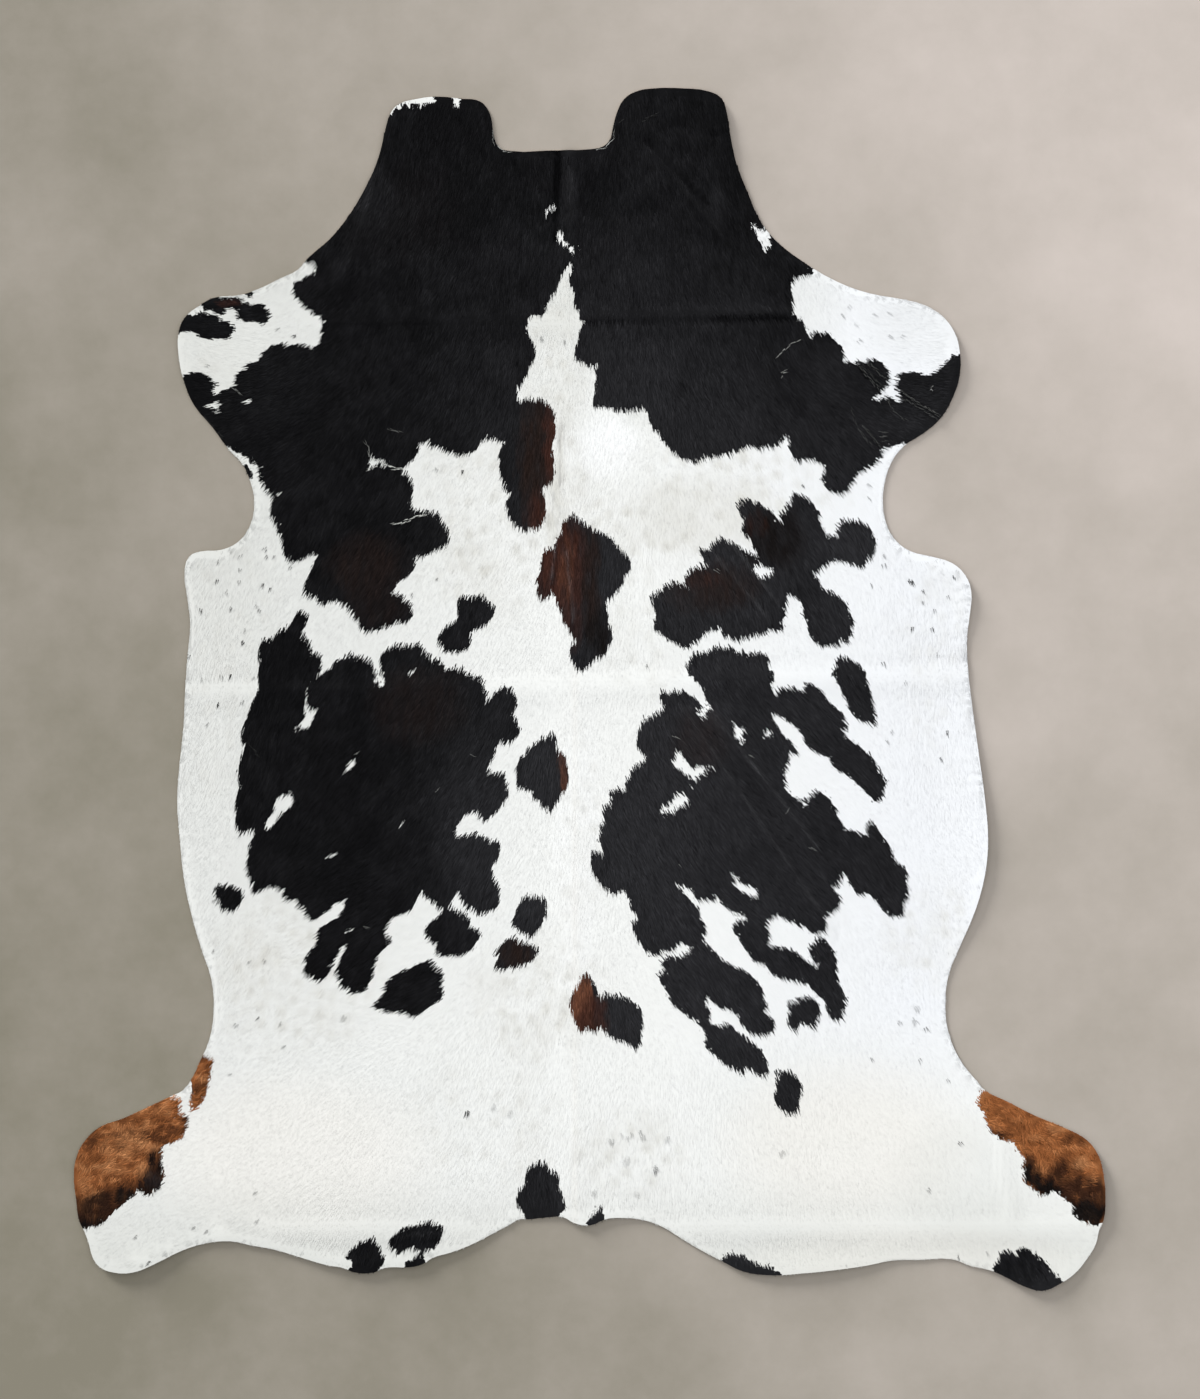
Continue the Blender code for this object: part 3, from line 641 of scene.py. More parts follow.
def insideLoop(spots, corners):
    # a spot is inside if a line from it to the right meets the loop an odd number of times
    inside = np.zeros(len(spots), bool)
    near = np.flatnonzero(((spots > corners.min(0)) & (spots < corners.max(0))).all(1))
    x, y = spots[near].T
    odd = np.zeros(len(near), bool)
    for (ax, ay), (bx, by) in zip(corners, np.roll(corners, -1, 0)):
        if ay != by:
            odd ^= ((ay > y) != (by > y)) & (x < ax + (y - ay) * (bx - ax) / (by - ay))
    inside[near] = odd
    return inside


def insideAny(spots, patches):
    inside = np.zeros(len(spots), bool)
    for loop in patches.values():
        inside |= insideLoop(spots, roundedLoop(loop))
    return inside


def lieOf(spots):
    # heading in radians and hair length at each spot, blended from the listed guides
    guides = np.array(lie, float)
    heading = np.radians(guides[:, 2])
    reach = ((spots[:, None, :] - guides[None, :, :2]) ** 2).sum(2)
    weight = 1 / (reach + 70 ** 2) ** 2    # no guide rules nearer than 70 mm
    weight /= weight.sum(1, keepdims=True)
    return np.arctan2(weight @ np.sin(heading), weight @ np.cos(heading)), weight @ guides[:, 3]


def fadeIn(value, start, width):
    return np.clip((value - start) / width, 0, 1)


def blendInto(colour, chosen, share, name):
    share = (share * chosen)[:, None]
    colour[:] = colour * (1 - share) + tones[name] * share


def spotShare(spots, x, y, halfWidth, halfLength):
    # 1 in the middle of a soft oval, falling to 0 a little outside it
    away = ((spots[:, 0] - x) / halfWidth) ** 2 + ((spots[:, 1] - y) / halfLength) ** 2
    return np.clip(1.25 - away, 0, 1)


def creaseRise(spots, chosen):
    # millimetres that the chosen creases lift each spot
    rise = np.zeros(len(spots))
    for name, start, end, high, halfWidth, crestHighlight in chosen:
        start, run = np.array(start, float), np.array(end, float) - np.array(start, float)
        share = np.clip((spots - start) @ run / (run @ run), 0, 1)
        away = np.linalg.norm(spots - start - share[:, None] * run, axis=1) / halfWidth
        rise += high * (0.5 + 0.5 * np.cos(math.pi * np.minimum(away, 1)))
    return rise


whiteLook = {
    # the next two are partly the coat's own tone, partly painted shade to the left and painted cool light to
    # the right
    "leftGreyAndShade": 0.62,     # how far the left side turns to ash
    "rightCoolAndLight": 0.5,      # how far the right side turns cool
    "tailShade": 0.65,     # how far the hair turns to ash towards the tail
    "rounds": 29,          # mm from one grey round to the next
    "smallRounds": 20,
    "greyCores": 0.16,     # how grey the middles of the rounds are
}


def whiteCoat(spots):
    # the colour that white hair has at each spot
    colour = np.tile(tones["white"], (len(spots), 1))
    everywhere = np.ones(len(spots))
    x, y = spots.T
    # painted shade to the left and painted cool light to the right, each partly the coat's own tone
    leftGreyAndShade = fadeIn(-x, 60, 560) * np.clip(0.8 + y / 1800, 0.45, 1)
    blendInto(colour, everywhere, leftGreyAndShade * whiteLook["leftGreyAndShade"], "ash")
    blendInto(colour, everywhere, fadeIn(x, 100, 450) * fadeIn(y, -760, 200) * whiteLook["rightCoolAndLight"], "cool")
    for row in whiteTints:
        blendInto(colour, everywhere, spotShare(spots, *row[:4]) * row[4], row[5])
    blendInto(colour, everywhere, fadeIn(-y, 840, 140) * whiteLook["tailShade"], "ash")
    blendInto(colour, everywhere, np.clip(1 - abs(x + 26) / 9, 0, 1) * (y < 60) * 0.15, "cream")  # spine
    crowd = np.clip(0.08 + sum(spotShare(spots, *row[:4]) * row[4] for row in dapples), 0, 1)
    rounds = roundSpots(spots, whiteLook["rounds"], 3)
    cloud = np.clip(softNoise(spots, 60, 13) + 0.3, 0, 1) * 0.3
    dots = np.clip((rounds + 0.4 * roundSpots(spots, whiteLook["smallRounds"], 4)) * 0.7 + cloud, 0, 1)
    blendInto(colour, everywhere, crowd * dots, "olive")
    core = np.clip(rounds * 1.6 - 0.6, 0, 1) * (softNoise(spots, 4, 14) > 0)
    blendInto(colour, everywhere, crowd * core * whiteLook["greyCores"], "grey hair")
    mane = np.clip(1.2 - abs(x + 88 - 0.09 * y) / 13, 0, 1) * (fadeIn(-y, -500, 60) * fadeIn(y, 240, 40))
    blendInto(colour, everywhere, mane * (0.6 + 0.4 * softNoise(spots, (5, 30), 15)), "olive")
    blendInto(colour, everywhere, mane * np.clip(softNoise(spots, (4, 24), 16), 0, 1) * 0.5, "grey hair")
    return colour


darkLook = {
    # sheen, rightDuller and drift set a painted sheen on the black
    "sheen": 0.72,         # how grey the black shines at the most
    "rightDuller": 0.2,
    "drift": ((0.09, 80, 23), (0.1, 24, 25), (0.11, (5, 13), 24)),  # of that sheen: share, width in mm, seed
    # these two: painted shade in the hollows and painted highlight on the tops of the hocks' curls
    "umber": 0.75,         # the dark and the pale of the curls on the hocks
    "strawHighlight": 0.6,
}


def darkCoat(spots, ginger):
    # the colour that dark or ginger hair has at each spot
    colour = np.tile(tones["black"], (len(spots), 1))
    blendInto(colour, ginger, np.ones(len(spots)), "ginger")
    x, y = spots.T
    # painted sheen: the black greyed more to the right and towards the tail, duller at the far right, in
    # drifting patches
    sheen = np.minimum(fadeIn(x, -380, 600), darkLook["sheen"]) * fadeIn(-y, -1000, 700)
    sheen -= fadeIn(x, 180, 200) * darkLook["rightDuller"]
    sheen += sum(high * softNoise(spots, size, seed) for high, size, seed in darkLook["drift"])
    blendInto(colour, ~ginger, np.clip(sheen + 0.04, 0, 1), "slate")
    streak = 1 + 0.45 * softNoise(spots, (6, 24), 22)
    ragged = spots + 7 * softNoise(spots, (9, 22), 21)[:, None]
    for rows, chosen in ((tints, ~ginger), (hockTints, ginger)):
        for name, x, y, halfWidth, halfLength, strength, hue in rows:
            share = spotShare(ragged, x, y, halfWidth, halfLength) * strength
            blendInto(colour, chosen, np.clip(share * streak, 0, 1), hue)
    patchy = np.clip(0.8 + 0.8 * softNoise(spots, 30, 26), 0, 1.4)
    # painted highlight along the crests of dark hair, and painted shade where the share is below 0
    for row in creases:
        if row[5]:
            crest = abs(row[5]) * patchy * (creaseRise(spots, [row]) / row[3]) ** 2
            blendInto(colour, ~ginger, np.clip(crest, 0, 1), "crestHighlight" if row[5] > 0 else "creaseShade")
    # the curls of the hocks: painted shade in their hollows, painted highlight on their tops
    curl = spots + 11 * np.stack([softNoise(spots, 26, 51), softNoise(spots, 26, 52)], 1)
    waves = ((0.6, spots, 21, 5), (0.9, curl, (20, 7), 6), (0.6, curl, (12, 4.5), 7))
    wave = sum(high * softNoise(where, size, seed) for high, where, size, seed in waves)
    wave *= np.where(spots[:, 0] > 0, 0.5, 1) * np.clip(colour[:, 0] * 5, 0, 1)
    blendInto(colour, ginger, np.clip(wave, 0, 1) * darkLook["umber"], "umber")
    blendInto(colour, ginger, np.clip(-wave, 0, 1) * darkLook["strawHighlight"], "strawHighlight")
    return colour


def coatAt(spots):
    # whether the hair is dark at each spot, and whether it is ginger
    ginger = insideAny(spots, gingerPatches)
    dark = (insideAny(spots, darkPatches) | ginger) & ~insideAny(spots, whiteGaps)
    return dark | insideAny(spots, darkIslands), ginger


class Wire:
    # a socket of a node tree that takes part in sums
    def __init__(self, maker, socket):
        self.maker, self.socket = maker, socket

    def sum(self, operation, first, second):
        return self.maker.node("ShaderNodeMath", {"operation": operation}, {0: first, 1: second})

    def __add__(self, other):
        return self.sum("ADD", self, other)

    def __sub__(self, other):
        return self.sum("SUBTRACT", self, other)

    def __rsub__(self, other):
        return self.sum("SUBTRACT", other, self)

    def __mul__(self, other):
        return self.sum("MULTIPLY", self, other)

    __radd__, __rmul__ = __add__, __mul__


class Maker:
    # adds nodes to one tree
    def __init__(self, tree):
        self.tree = tree

    def node(self, kind, settings=(), sockets=(), out=0):
        made = self.tree.nodes.new(kind)
        for name, value in dict(settings).items():
            if name == "stops":
                for stop in value[2:]:
                    made.color_ramp.elements.new(stop[0])
                for element, (place, colour) in zip(made.color_ramp.elements, value):
                    element.position, element.color = place, (*colour, 1)
            else:
                setattr(made, name, value)
        for name, value in dict(sockets).items():
            if isinstance(value, Wire):
                self.tree.links.new(value.socket, made.inputs[name])
            else:
                made.inputs[name].default_value = value
        return Wire(self, made.outputs[out])

    def mixed(self, factor, first, second, blend="MIX"):
        return self.node(
            "ShaderNodeMix", {"data_type": "RGBA", "blend_type": blend}, {0: factor, 6: first, 7: second}, 2
        )


def newMaterial(name, shine):
    material = bpy.data.materials.new(name)
    material.use_nodes = True
    shader = material.node_tree.nodes["Principled BSDF"]
    for socket, value in shine.items():
        shader.inputs[socket].default_value = value
    return material, Maker(material.node_tree), shader


def feed(maker, shader, name, wire):
    maker.tree.links.new(wire.socket, shader.inputs[name])


hairLook = {
    "shine": {"Specular IOR Level": 0.01},
    "strandsAcross": 9.0,
    "roughest": 0.66,
    "glossiest": 0.6,
    "bump": 0.06,
}


def hairMaterial():
    material, maker, shader = newMaterial("cow hair", hairLook["shine"])
    coat = maker.node("ShaderNodeAttribute", {"attribute_name": "coat"})
    strand = maker.node("ShaderNodeUVMap", {"uv_map": "strand"})
    lines = maker.node(
        "ShaderNodeMapping", {}, {"Vector": strand, "Scale": (hairLook["strandsAcross"], 0.7, 1)}
    )
    streak = maker.node(
        "ShaderNodeTexNoise", {"noise_dimensions": "2D"}, {"Vector": lines, "Scale": 1.0, "Detail": 1.0}
    )
    shade = maker.node(
        "ShaderNodeValToRGB", {"stops": [(0.3, (0.95, 0.95, 0.95)), (0.7, (1.0, 1.0, 1.0))]}, {0: streak}
    )
    feed(maker, shader, "Base Color", maker.mixed(1.0, coat, shade, "MULTIPLY"))
    light = maker.node("ShaderNodeRGBToBW", {}, {0: coat})
    span = hairLook["roughest"] - hairLook["glossiest"]
    feed(maker, shader, "Roughness", light * span + streak * 0.08 + hairLook["glossiest"])
    bump = maker.node(
        "ShaderNodeBump", {}, {"Strength": hairLook["bump"], "Distance": 0.0003, "Height": streak}
    )
    feed(maker, shader, "Normal", bump)
    return material


skinLook = {
    "shine": {"Specular IOR Level": 0.01},
    "deeper": 0.8,         # the dark coat between the locks, against the locks
    "edgeNoise": 260.0,
    "napNoise": 900.0,
}


def underCoatMaterial():
    # the short hair next to the skin, seen between the locks
    material, maker, shader = newMaterial("under coat", skinLook["shine"])
    place = maker.node("ShaderNodeTexCoord", out="Object")
    dark = maker.node("ShaderNodeAttribute", {"attribute_name": "dark"}, out="Fac")
    ragged = maker.node("ShaderNodeTexNoise", {}, {"Vector": place, "Scale": skinLook["edgeNoise"]})
    nap = maker.node("ShaderNodeTexNoise", {}, {"Vector": place, "Scale": skinLook["napNoise"]})
    edge = maker.node("ShaderNodeClamp", {}, {0: (dark + ragged * 0.5 - 0.75) * 7 + 0.5})
    pale = maker.node("ShaderNodeAttribute", {"attribute_name": "pale"})
    deep = maker.node("ShaderNodeAttribute", {"attribute_name": "deep"})
    coat = maker.mixed(edge, pale, deep)
    shade = maker.node(
        "ShaderNodeValToRGB", {"stops": [(0.3, (0.96, 0.96, 0.96)), (0.7, (1.0, 1.0, 1.0))]}, {0: nap}
    )
    feed(maker, shader, "Base Color", maker.mixed(1.0, coat, shade, "MULTIPLY"))
    feed(maker, shader, "Roughness", nap * 0.2 + 0.6)
    bump = maker.node("ShaderNodeBump", {}, {"Strength": 0.2, "Distance": 0.0004, "Height": nap})
    feed(maker, shader, "Normal", bump)
    return material


suedeLook = {
    "shine": {"Specular IOR Level": 0.15, "Sheen Weight": 0.15},
    "pale": (0.56, 0.47, 0.37),
    "deep": (0.38, 0.30, 0.22),
}


def suedeMaterial():
    material, maker, shader = newMaterial("suede side", suedeLook["shine"])
    place = maker.node("ShaderNodeTexCoord", out="Object")
    cloud = maker.node("ShaderNodeTexNoise", {}, {"Vector": place, "Scale": 9.0, "Detail": 5.0})
    nap = maker.node("ShaderNodeTexNoise", {}, {"Vector": place, "Scale": 700.0, "Detail": 3.0})
    colour = maker.node(
        "ShaderNodeValToRGB",
        {"stops": [(0.3, suedeLook["deep"]), (0.7, suedeLook["pale"])]},
        {0: cloud * 0.7 + nap * 0.3},
    )
    feed(maker, shader, "Base Color", colour)
    feed(maker, shader, "Roughness", nap * 0.2 + 0.78)
    bump = maker.node("ShaderNodeBump", {}, {"Strength": 0.5, "Distance": 0.0004, "Height": nap})
    feed(maker, shader, "Normal", bump)
    return material


def setAttribute(mesh, name, kind, values):
    field = {"FLOAT_COLOR": "color", "FLOAT_VECTOR": "vector", "FLOAT": "value"}[kind]
    if kind == "FLOAT_COLOR":
        values = np.column_stack([values, np.ones(len(values))])
    mesh.attributes.new(name, kind, "POINT").data.foreach_set(field, np.asarray(values, np.float32).ravel())


def solidSide(node, side):
    # one side of the solid, 1 for the coat and -1 for the back, with a tree for reading its height
    bm = bmesh.new()
    bm.from_mesh(node.data)
    bmesh.ops.remove_doubles(bm, verts=bm.verts, dist=1e-6)
    away = [face for face in bm.faces if face.normal.z * side < 0.2]
    bmesh.ops.delete(bm, geom=away, context="FACES")
    return bm, BVHTree.FromBMesh(bm)


def heightOn(tree, x, y):
    hit = tree.ray_cast(Vector((x, y, 0.2)), Vector((0, 0, -1)))[0]
    if hit is None:
        hit = tree.find_nearest(Vector((x, y, 0.004)))[0]
    return hit.z


def cutEdge(bm):
    # the rim of the coat side, once round, in metres
    edge = next(e for e in bm.edges if e.is_boundary)
    first = vert = edge.verts[0]
    rim = []
    while not rim or vert != first:
        rim.append(vert.co.xy[:])
        vert = edge.other_vert(vert)
        edge = next(e for e in vert.link_edges if e.is_boundary and e != edge)
    return np.array(rim)


hide = {
    "cell": 0.020,             # squares the skin is cut in, each split in four after that
    "offset": 0.37,            # the squares' place, clear of the points of the rim
    "skinShare": 0.56,         # how much of the solid's thickness is skin, the rest is hair
    "thinnest": 0.0009,
    "swell": ((0.25, 120), (0.12, 45)),  # height and width in mm of the lying skin's unevenness
    "smoothing": 3,
    "rimLift": (1.3, 22),      # mm the cut edge stands off the floor, and how far in
    "shownSlope": (0.3, 1.0),  # share of their slope that white and dark parts are shaded by
    "topMap": (0.36, 0.330, 0.385),     # bake map of each side: scale for a metre, middle
    "backMap": (0.19, 0.828, 0.210),
    "edgeOnMap": 0.004,
}


def flatSkin(rim):
    # one face inside the rim, cut in squares and split once more
    bm = bmesh.new()
    bm.faces.new([bm.verts.new((x, y, 0)) for x, y in rim])
    for axis in range(2):
        across = Vector((axis == 0, axis == 1, 0))
        count = int(abs(rim[:, axis]).max() / hide["cell"])
        for step in range(-count - 1, count + 1):
            whole = bm.verts[:] + bm.edges[:] + bm.faces[:]
            spot = across * ((step + hide["offset"]) * hide["cell"])
            bmesh.ops.bisect_plane(bm, geom=whole, dist=1e-5, plane_co=spot, plane_no=across)
    bmesh.ops.triangulate(bm, faces=[face for face in bm.faces if len(face.verts) > 4])
    flat = addObject("flat skin", meshFrom(bm, "flat skin"))
    finer = flat.modifiers.new("finer", "SUBSURF")
    finer.subdivision_type = "SIMPLE"
    finer.levels = finer.render_levels = 1
    return grownMesh(flat)


def rimDistance(spots, rim):
    onward = np.roll(rim, -1, 0) - rim
    dense = np.concatenate([rim + onward * share for share in (0, 0.2, 0.4, 0.6, 0.8)])
    tree = KDTree(len(dense))
    for index, (x, y) in enumerate(dense):
        tree.insert((x, y, 0), index)
    tree.balance()
    return np.array([tree.find((x, y, 0))[2] for x, y in spots])


def shownSlope(dark, inward):
    # the coat is shaded flatter than it lies, most of all in the white and beside the cut edge
    return np.where(dark, *hide["shownSlope"][::-1]) * np.clip(inward / 16, 0.15, 1)


def riseOf(spots, inward):
    # millimetres over the solid: the skin's unevenness, the creases and the lift of the cut edge
    swell = sum(high * softNoise(spots, wide, 11 + wide) for high, wide in hide["swell"])
    lift = hide["rimLift"][0] * np.exp(-(inward / hide["rimLift"][1]) ** 2)
    return swell + lift + creaseRise(spots, [row for row in creases if row[4] >= onSkin])


def mapSkin(bm, coatVerts):
    # lays the coat side, the cut edge round it and the back on the bake map
    bakeMap = bm.loops.layers.uv.new("OFBake")
    for face in bm.faces:
        onCoat = [vert in coatVerts for vert in face.verts]
        scale, u, v = hide["topMap"] if any(onCoat) else hide["backMap"]
        outward = face.normal.xy.normalized() * hide["edgeOnMap"] if any(onCoat) else Vector((0, 0))
        face.material_index = 0 if all(onCoat) else 1
        for loop, isCoat in zip(face.loops, onCoat):
            spot = loop.vert.co.xy if isCoat else loop.vert.co.xy + outward
            loop[bakeMap].uv = spot * scale + Vector((u, v))


def dressSkin(mesh, rim):
    # the finish of both sides, the coat's colours between the locks, and normals flatter than it lies
    mesh.set_sharp_from_angle(angle=math.radians(50))
    mesh.materials.append(underCoatMaterial())
    mesh.materials.append(suedeMaterial())
    spots = np.array([vert.co.xy[:] for vert in mesh.vertices]) / mm
    dark, ginger = coatAt(spots)
    normals = np.array([corner.vector[:] for corner in mesh.corner_normals])
    shown = shownSlope(dark, rimDistance(spots, rim / mm))
    for face in mesh.polygons:
        if face.material_index == 0:
            for corner in face.loop_indices:
                normals[corner, :2] *= shown[mesh.loops[corner].vertex_index]
    normals /= np.linalg.norm(normals, axis=1, keepdims=True)
    setAttribute(mesh, "dark", "FLOAT", dark)
    mesh.normals_split_custom_set(normals)
    setAttribute(mesh, "pale", "FLOAT_COLOR", whiteCoat(spots))
    setAttribute(mesh, "deep", "FLOAT_COLOR", darkCoat(spots, ginger) * skinLook["deeper"])


def layHide(node):
    coatSide, coatTree = solidSide(node, 1)
    backSide, backTree = solidSide(node, -1)
    rim = cutEdge(coatSide)
    mesh = flatSkin(rim)
    bm = bmesh.new()
    bm.from_mesh(mesh)
    seat = bm.verts.layers.int.new("seat")
    spots = np.array([vert.co.xy[:] for vert in bm.verts])
    back = np.array([heightOn(backTree, x, y) for x, y in spots])
    coat = np.array([heightOn(coatTree, x, y) for x, y in spots])
    rise = riseOf(spots / mm, rimDistance(spots / mm, rim / mm)) * mm
    for index, vert in enumerate(bm.verts):
        vert[seat] = index
        vert.co.z = back[index] + rise[index]
    for turn in range(hide["smoothing"]):
        bmesh.ops.smooth_vert(bm, verts=bm.verts, factor=0.5, use_axis_z=True)
    raised = bmesh.ops.extrude_face_region(bm, geom=bm.faces[:], use_keep_orig=True)["geom"]
    coatVerts = {item for item in raised if isinstance(item, bmesh.types.BMVert)}
    skin = (coat - back) * hide["skinShare"]
    for vert in bm.verts:
        if vert in coatVerts:
            vert.co.z = max(vert.co.z + skin[vert[seat]], hide["thinnest"])
        else:
            vert.co.z = max(vert.co.z, 0)
    bmesh.ops.recalc_face_normals(bm, faces=bm.faces)
    mapSkin(bm, coatVerts)
    for face in bm.faces:
        face.smooth = True
    bm.verts.layers.int.remove(seat)
    tree = BVHTree.FromBMesh(bm)
    bm.to_mesh(mesh)
    for used in (bm, coatSide, backSide):
        used.free()
    mesh.name = "hide_skin"
    dressSkin(mesh, rim)
    return addObject("hide_skin", mesh), rim, tree


hair = {
    "seed": 7,
    "spacing": 3.45,       # mm between roots
    "width": 2.5,          # of a lock, mm
    "widths": (0.8, 1.2),  # least and most, against that
    "height": 0.14,
    "rise": (1.3, 0.5),    # degrees from the skin, and their spread
    "calm": (1.0, 0.5, 1.0),            # share of that height and rise: dark, white, ginger
    "round": (0.5, 0.05, 0.8),          # how round a lock is shaded
    "uneven": (0.22, 0.008, 0.25),      # how much their colours differ from lock to lock
    "clump": ((2.2, 3), (2.0, 10)),     # mm that tufts pull the patches' borders, and their width
    "stray": (7.0, 30.0),  # degrees off the lie, in straight hair and in the curls of the hocks
    "waves": ((0.10, 70, 31), (0.08, 24, 32)),  # turns the lie: radians, width in mm, seed
    "curls": (0.9, 24, 33),             # the same, in the hocks alone
    "overhang": 1.5,       # mm a tip may pass the cut edge
    "shorter": (1.0, 0.8, 0.62, 0.46, 0.32, 0.2),   # lengths that are tried to keep it inside
    "rimShade": (0.24, 9),              # how much darker white hair is along that edge, and how far in
    "sunk": 0.05,          # mm the root sits in the skin
    "longer": 1.25,        # locks against the hair lengths of the lie
    "lengths": (0.78, 1.2),             # least and most, against that
    "shownAt": 0.50,       # share of its length at which a lock takes its colour from the pattern
    "pieces": ("hair_neck", "hair_shoulders", "hair_back", "hair_loin", "hair_rump"),
}


def hairRoots(rim, dice):
    step = hair["spacing"]
    sides = [np.arange(rim[:, axis].min(), rim[:, axis].max(), step) for axis in range(2)]
    roots = np.stack(np.meshgrid(*sides, indexing="ij"), 2).reshape(-1, 2)
    roots += dice.uniform(-0.48, 0.48, roots.shape) * step
    return roots[insideLoop(roots, rim)]


def groundUnder(tree, rim):
    # reads the height and slopes of the skin at any spot from a raster of its surface
    step = 5.0
    low, high = rim.min(0) - 2 * step, rim.max(0) + 2 * step
    xs, ys = (np.arange(low[axis], high[axis] + step, step) for axis in range(2))
    raster = np.array([[heightOn(tree, x * mm, y * mm) / mm for y in ys] for x in xs])
    tables = (raster, *np.gradient(raster, step))

    def read(spots):
        cell = (spots - low) / step
        i, j = cell.astype(int).T
        u, v = (cell - cell.astype(int)).T
        near = [table[i, j] * (1 - u) + table[i + 1, j] * u for table in tables]
        far = [table[i, j + 1] * (1 - u) + table[i + 1, j + 1] * u for table in tables]
        return [a * (1 - v) + b * v for a, b in zip(near, far)]

    return read


def coatColours(shown, spots, dice):
    # shown is where each lock stands in the pattern, spots where its middle really is; the kind is 0 for
    # dark hair, 1 for white and 2 for ginger
    dark, ginger = coatAt(shown)
    colour = np.where(dark[:, None], darkCoat(spots, ginger), whiteCoat(spots))
    kind = np.where(dark, 2 * ginger, 1)
    uneven = np.array(hair["uneven"])[kind]
    return colour * np.clip(1 + uneven * dice.normal(size=len(spots)), 0.4, 1.8)[:, None], kind


def markHairs(roots, heading, full, dice):
    # turns and shortens single locks into the pale hairs, the painted wrinkle highlights and the grey flecks;
    # gives each lock's share of the pale and of the grey
    pale, fleck = np.zeros((2, len(roots)))
    for ax, ay, bx, by, strength in paleHairsAndWrinkleHighlights:
        start, run = np.array((ax, ay), float), np.array((bx - ax, by - ay), float)
        reach = math.hypot(*run)
        for step in np.arange(0, max(reach - 4, 1), 3.0):
            near = np.argmin(((roots - start - run * step / reach) ** 2).sum(1))
            heading[near] = math.atan2(run[1], run[0]) + 0.12 * dice.normal()
            full[near] = min(reach, 9)
            pale[near] = strength * dice.uniform(0.6, 1.1)
    for x, y, reach, strength in flecks:
        along = lieOf(np.array([[x, y]], float))[0][0]
        start = np.array((x - math.cos(along) * reach * 0.4, y - math.sin(along) * reach * 0.4))
        near = np.argsort(((roots - start) ** 2).sum(1))[:3 if reach < 13 else 7]
        full[near] = np.clip(reach, 6, 11)
        fleck[near] = strength * dice.uniform(1.0, 1.7, len(near))
    return pale, np.minimum(fleck, 0.95)


def hairLock():
    # a lock of unit size from the root at the origin along +X, flat underneath
    bm = bmesh.new()
    strand = bm.loops.layers.uv.new("strand")
    bmesh.ops.create_cone(bm, cap_ends=True, segments=3, radius1=1.0, radius2=0.0, depth=1.0)
    bmesh.ops.rotate(bm, verts=bm.verts, matrix=Matrix.Rotation(math.radians(90), 3, "Z"))
    bmesh.ops.rotate(bm, verts=bm.verts, matrix=Matrix.Rotation(math.radians(90), 3, "Y"))
    bmesh.ops.translate(bm, verts=bm.verts, vec=(0.5, 0, 0.5))
    bmesh.ops.scale(bm, verts=bm.verts, vec=(1, 1 / math.sqrt(3), 1 / 1.5))
    for face in bm.faces:
        face.smooth = True
        for loop, u in zip(face.loops, (0.0, 1.0, 0.5)):
            loop[strand].uv = (u, 0.0)
        tips = [loop for loop in face.loops if loop.vert.co.x > 0.5]
        if tips:
            tips[0][strand].uv = (0.5, 1.0)
            tips[0].link_loop_next[strand].uv = (0.0, 0.0)
            tips[0].link_loop_prev[strand].uv = (1.0, 0.0)
        else:
            face.loops[2][strand].uv = (0.5, 0.15)
    mesh = meshFrom(bm, "hair lock")
    mesh.materials.append(hairMaterial())
    return addObject("hair lock", mesh)


def hairLayer(lock, cellSize):
    # geometry nodes that set a lock on every root, turned and sized by the root's own values
    tree = bpy.data.node_groups.new("hair layer", "GeometryNodeTree")
    for way in ("INPUT", "OUTPUT"):
        tree.interface.new_socket("Geometry", in_out=way, socket_type="NodeSocketGeometry")
    maker = Maker(tree)

    def named(name):
        return maker.node("GeometryNodeInputNamedAttribute", {"data_type": "FLOAT_VECTOR"}, {"Name": name})

    locks = maker.node(
        "GeometryNodeInstanceOnPoints",
        {},
        {
            "Points": maker.node("NodeGroupInput"),
            "Instance": maker.node("GeometryNodeObjectInfo", {}, {"Object": lock}, "Geometry"),
            "Rotation": named("lockTurn"),
            "Scale": named("lockSize"),
        },
    )
    whole = maker.node("GeometryNodeRealizeInstances", {}, {"Geometry": locks})
    place = maker.node(
        "ShaderNodeVectorMath",
        {"operation": "MULTIPLY_ADD"},
        {0: named("strand"), 1: (cellSize, cellSize, 0), 2: named("mapCell")},
    )
    mapped = maker.node(
        "GeometryNodeStoreNamedAttribute",
        {"data_type": "FLOAT2", "domain": "CORNER"},
        {"Geometry": whole, "Name": "OFBake", "Value": place},
    )
    tree.links.new(mapped.socket, tree.nodes.new("NodeGroupOutput").inputs[0])
    return tree


def combHair(rim, dice):
    # where each lock is rooted, its heading and length, and how pale or grey it is marked
    roots = hairRoots(rim, dice)
    roots = roots[np.argsort(-roots[:, 1], kind="stable")]
    heading, length = lieOf(roots)
    ginger = insideAny(roots, gingerPatches)
    wave = sum(turn * softNoise(roots, wide, seed) for turn, wide, seed in hair["waves"])
    curl, wide, seed = hair["curls"]
    heading += ginger * curl * softNoise(roots, wide, seed)
    heading += wave + np.radians(np.where(ginger, *hair["stray"][::-1])) * dice.normal(size=len(roots))
    full = length * hair["longer"] * dice.uniform(*hair["lengths"], len(roots))
    for loop in [*whiteGaps.values(), *darkIslands.values()]:
        for spot in loop:
            full[((roots - spot) ** 2).sum(1) < 11 ** 2] *= 0.97
    marks = markHairs(roots, heading, full, dice)
    ahead = np.stack([np.cos(heading), np.sin(heading)], 1)
    length = full.copy()
    over = np.arange(len(roots))
    for share in hair["shorter"]:
        length[over] = full[over] * share
        tips = roots[over] + ahead[over] * (length[over] - hair["overhang"])[:, None]
        over = over[~insideLoop(tips, rim)]
    return roots, heading, ahead, full, length, marks


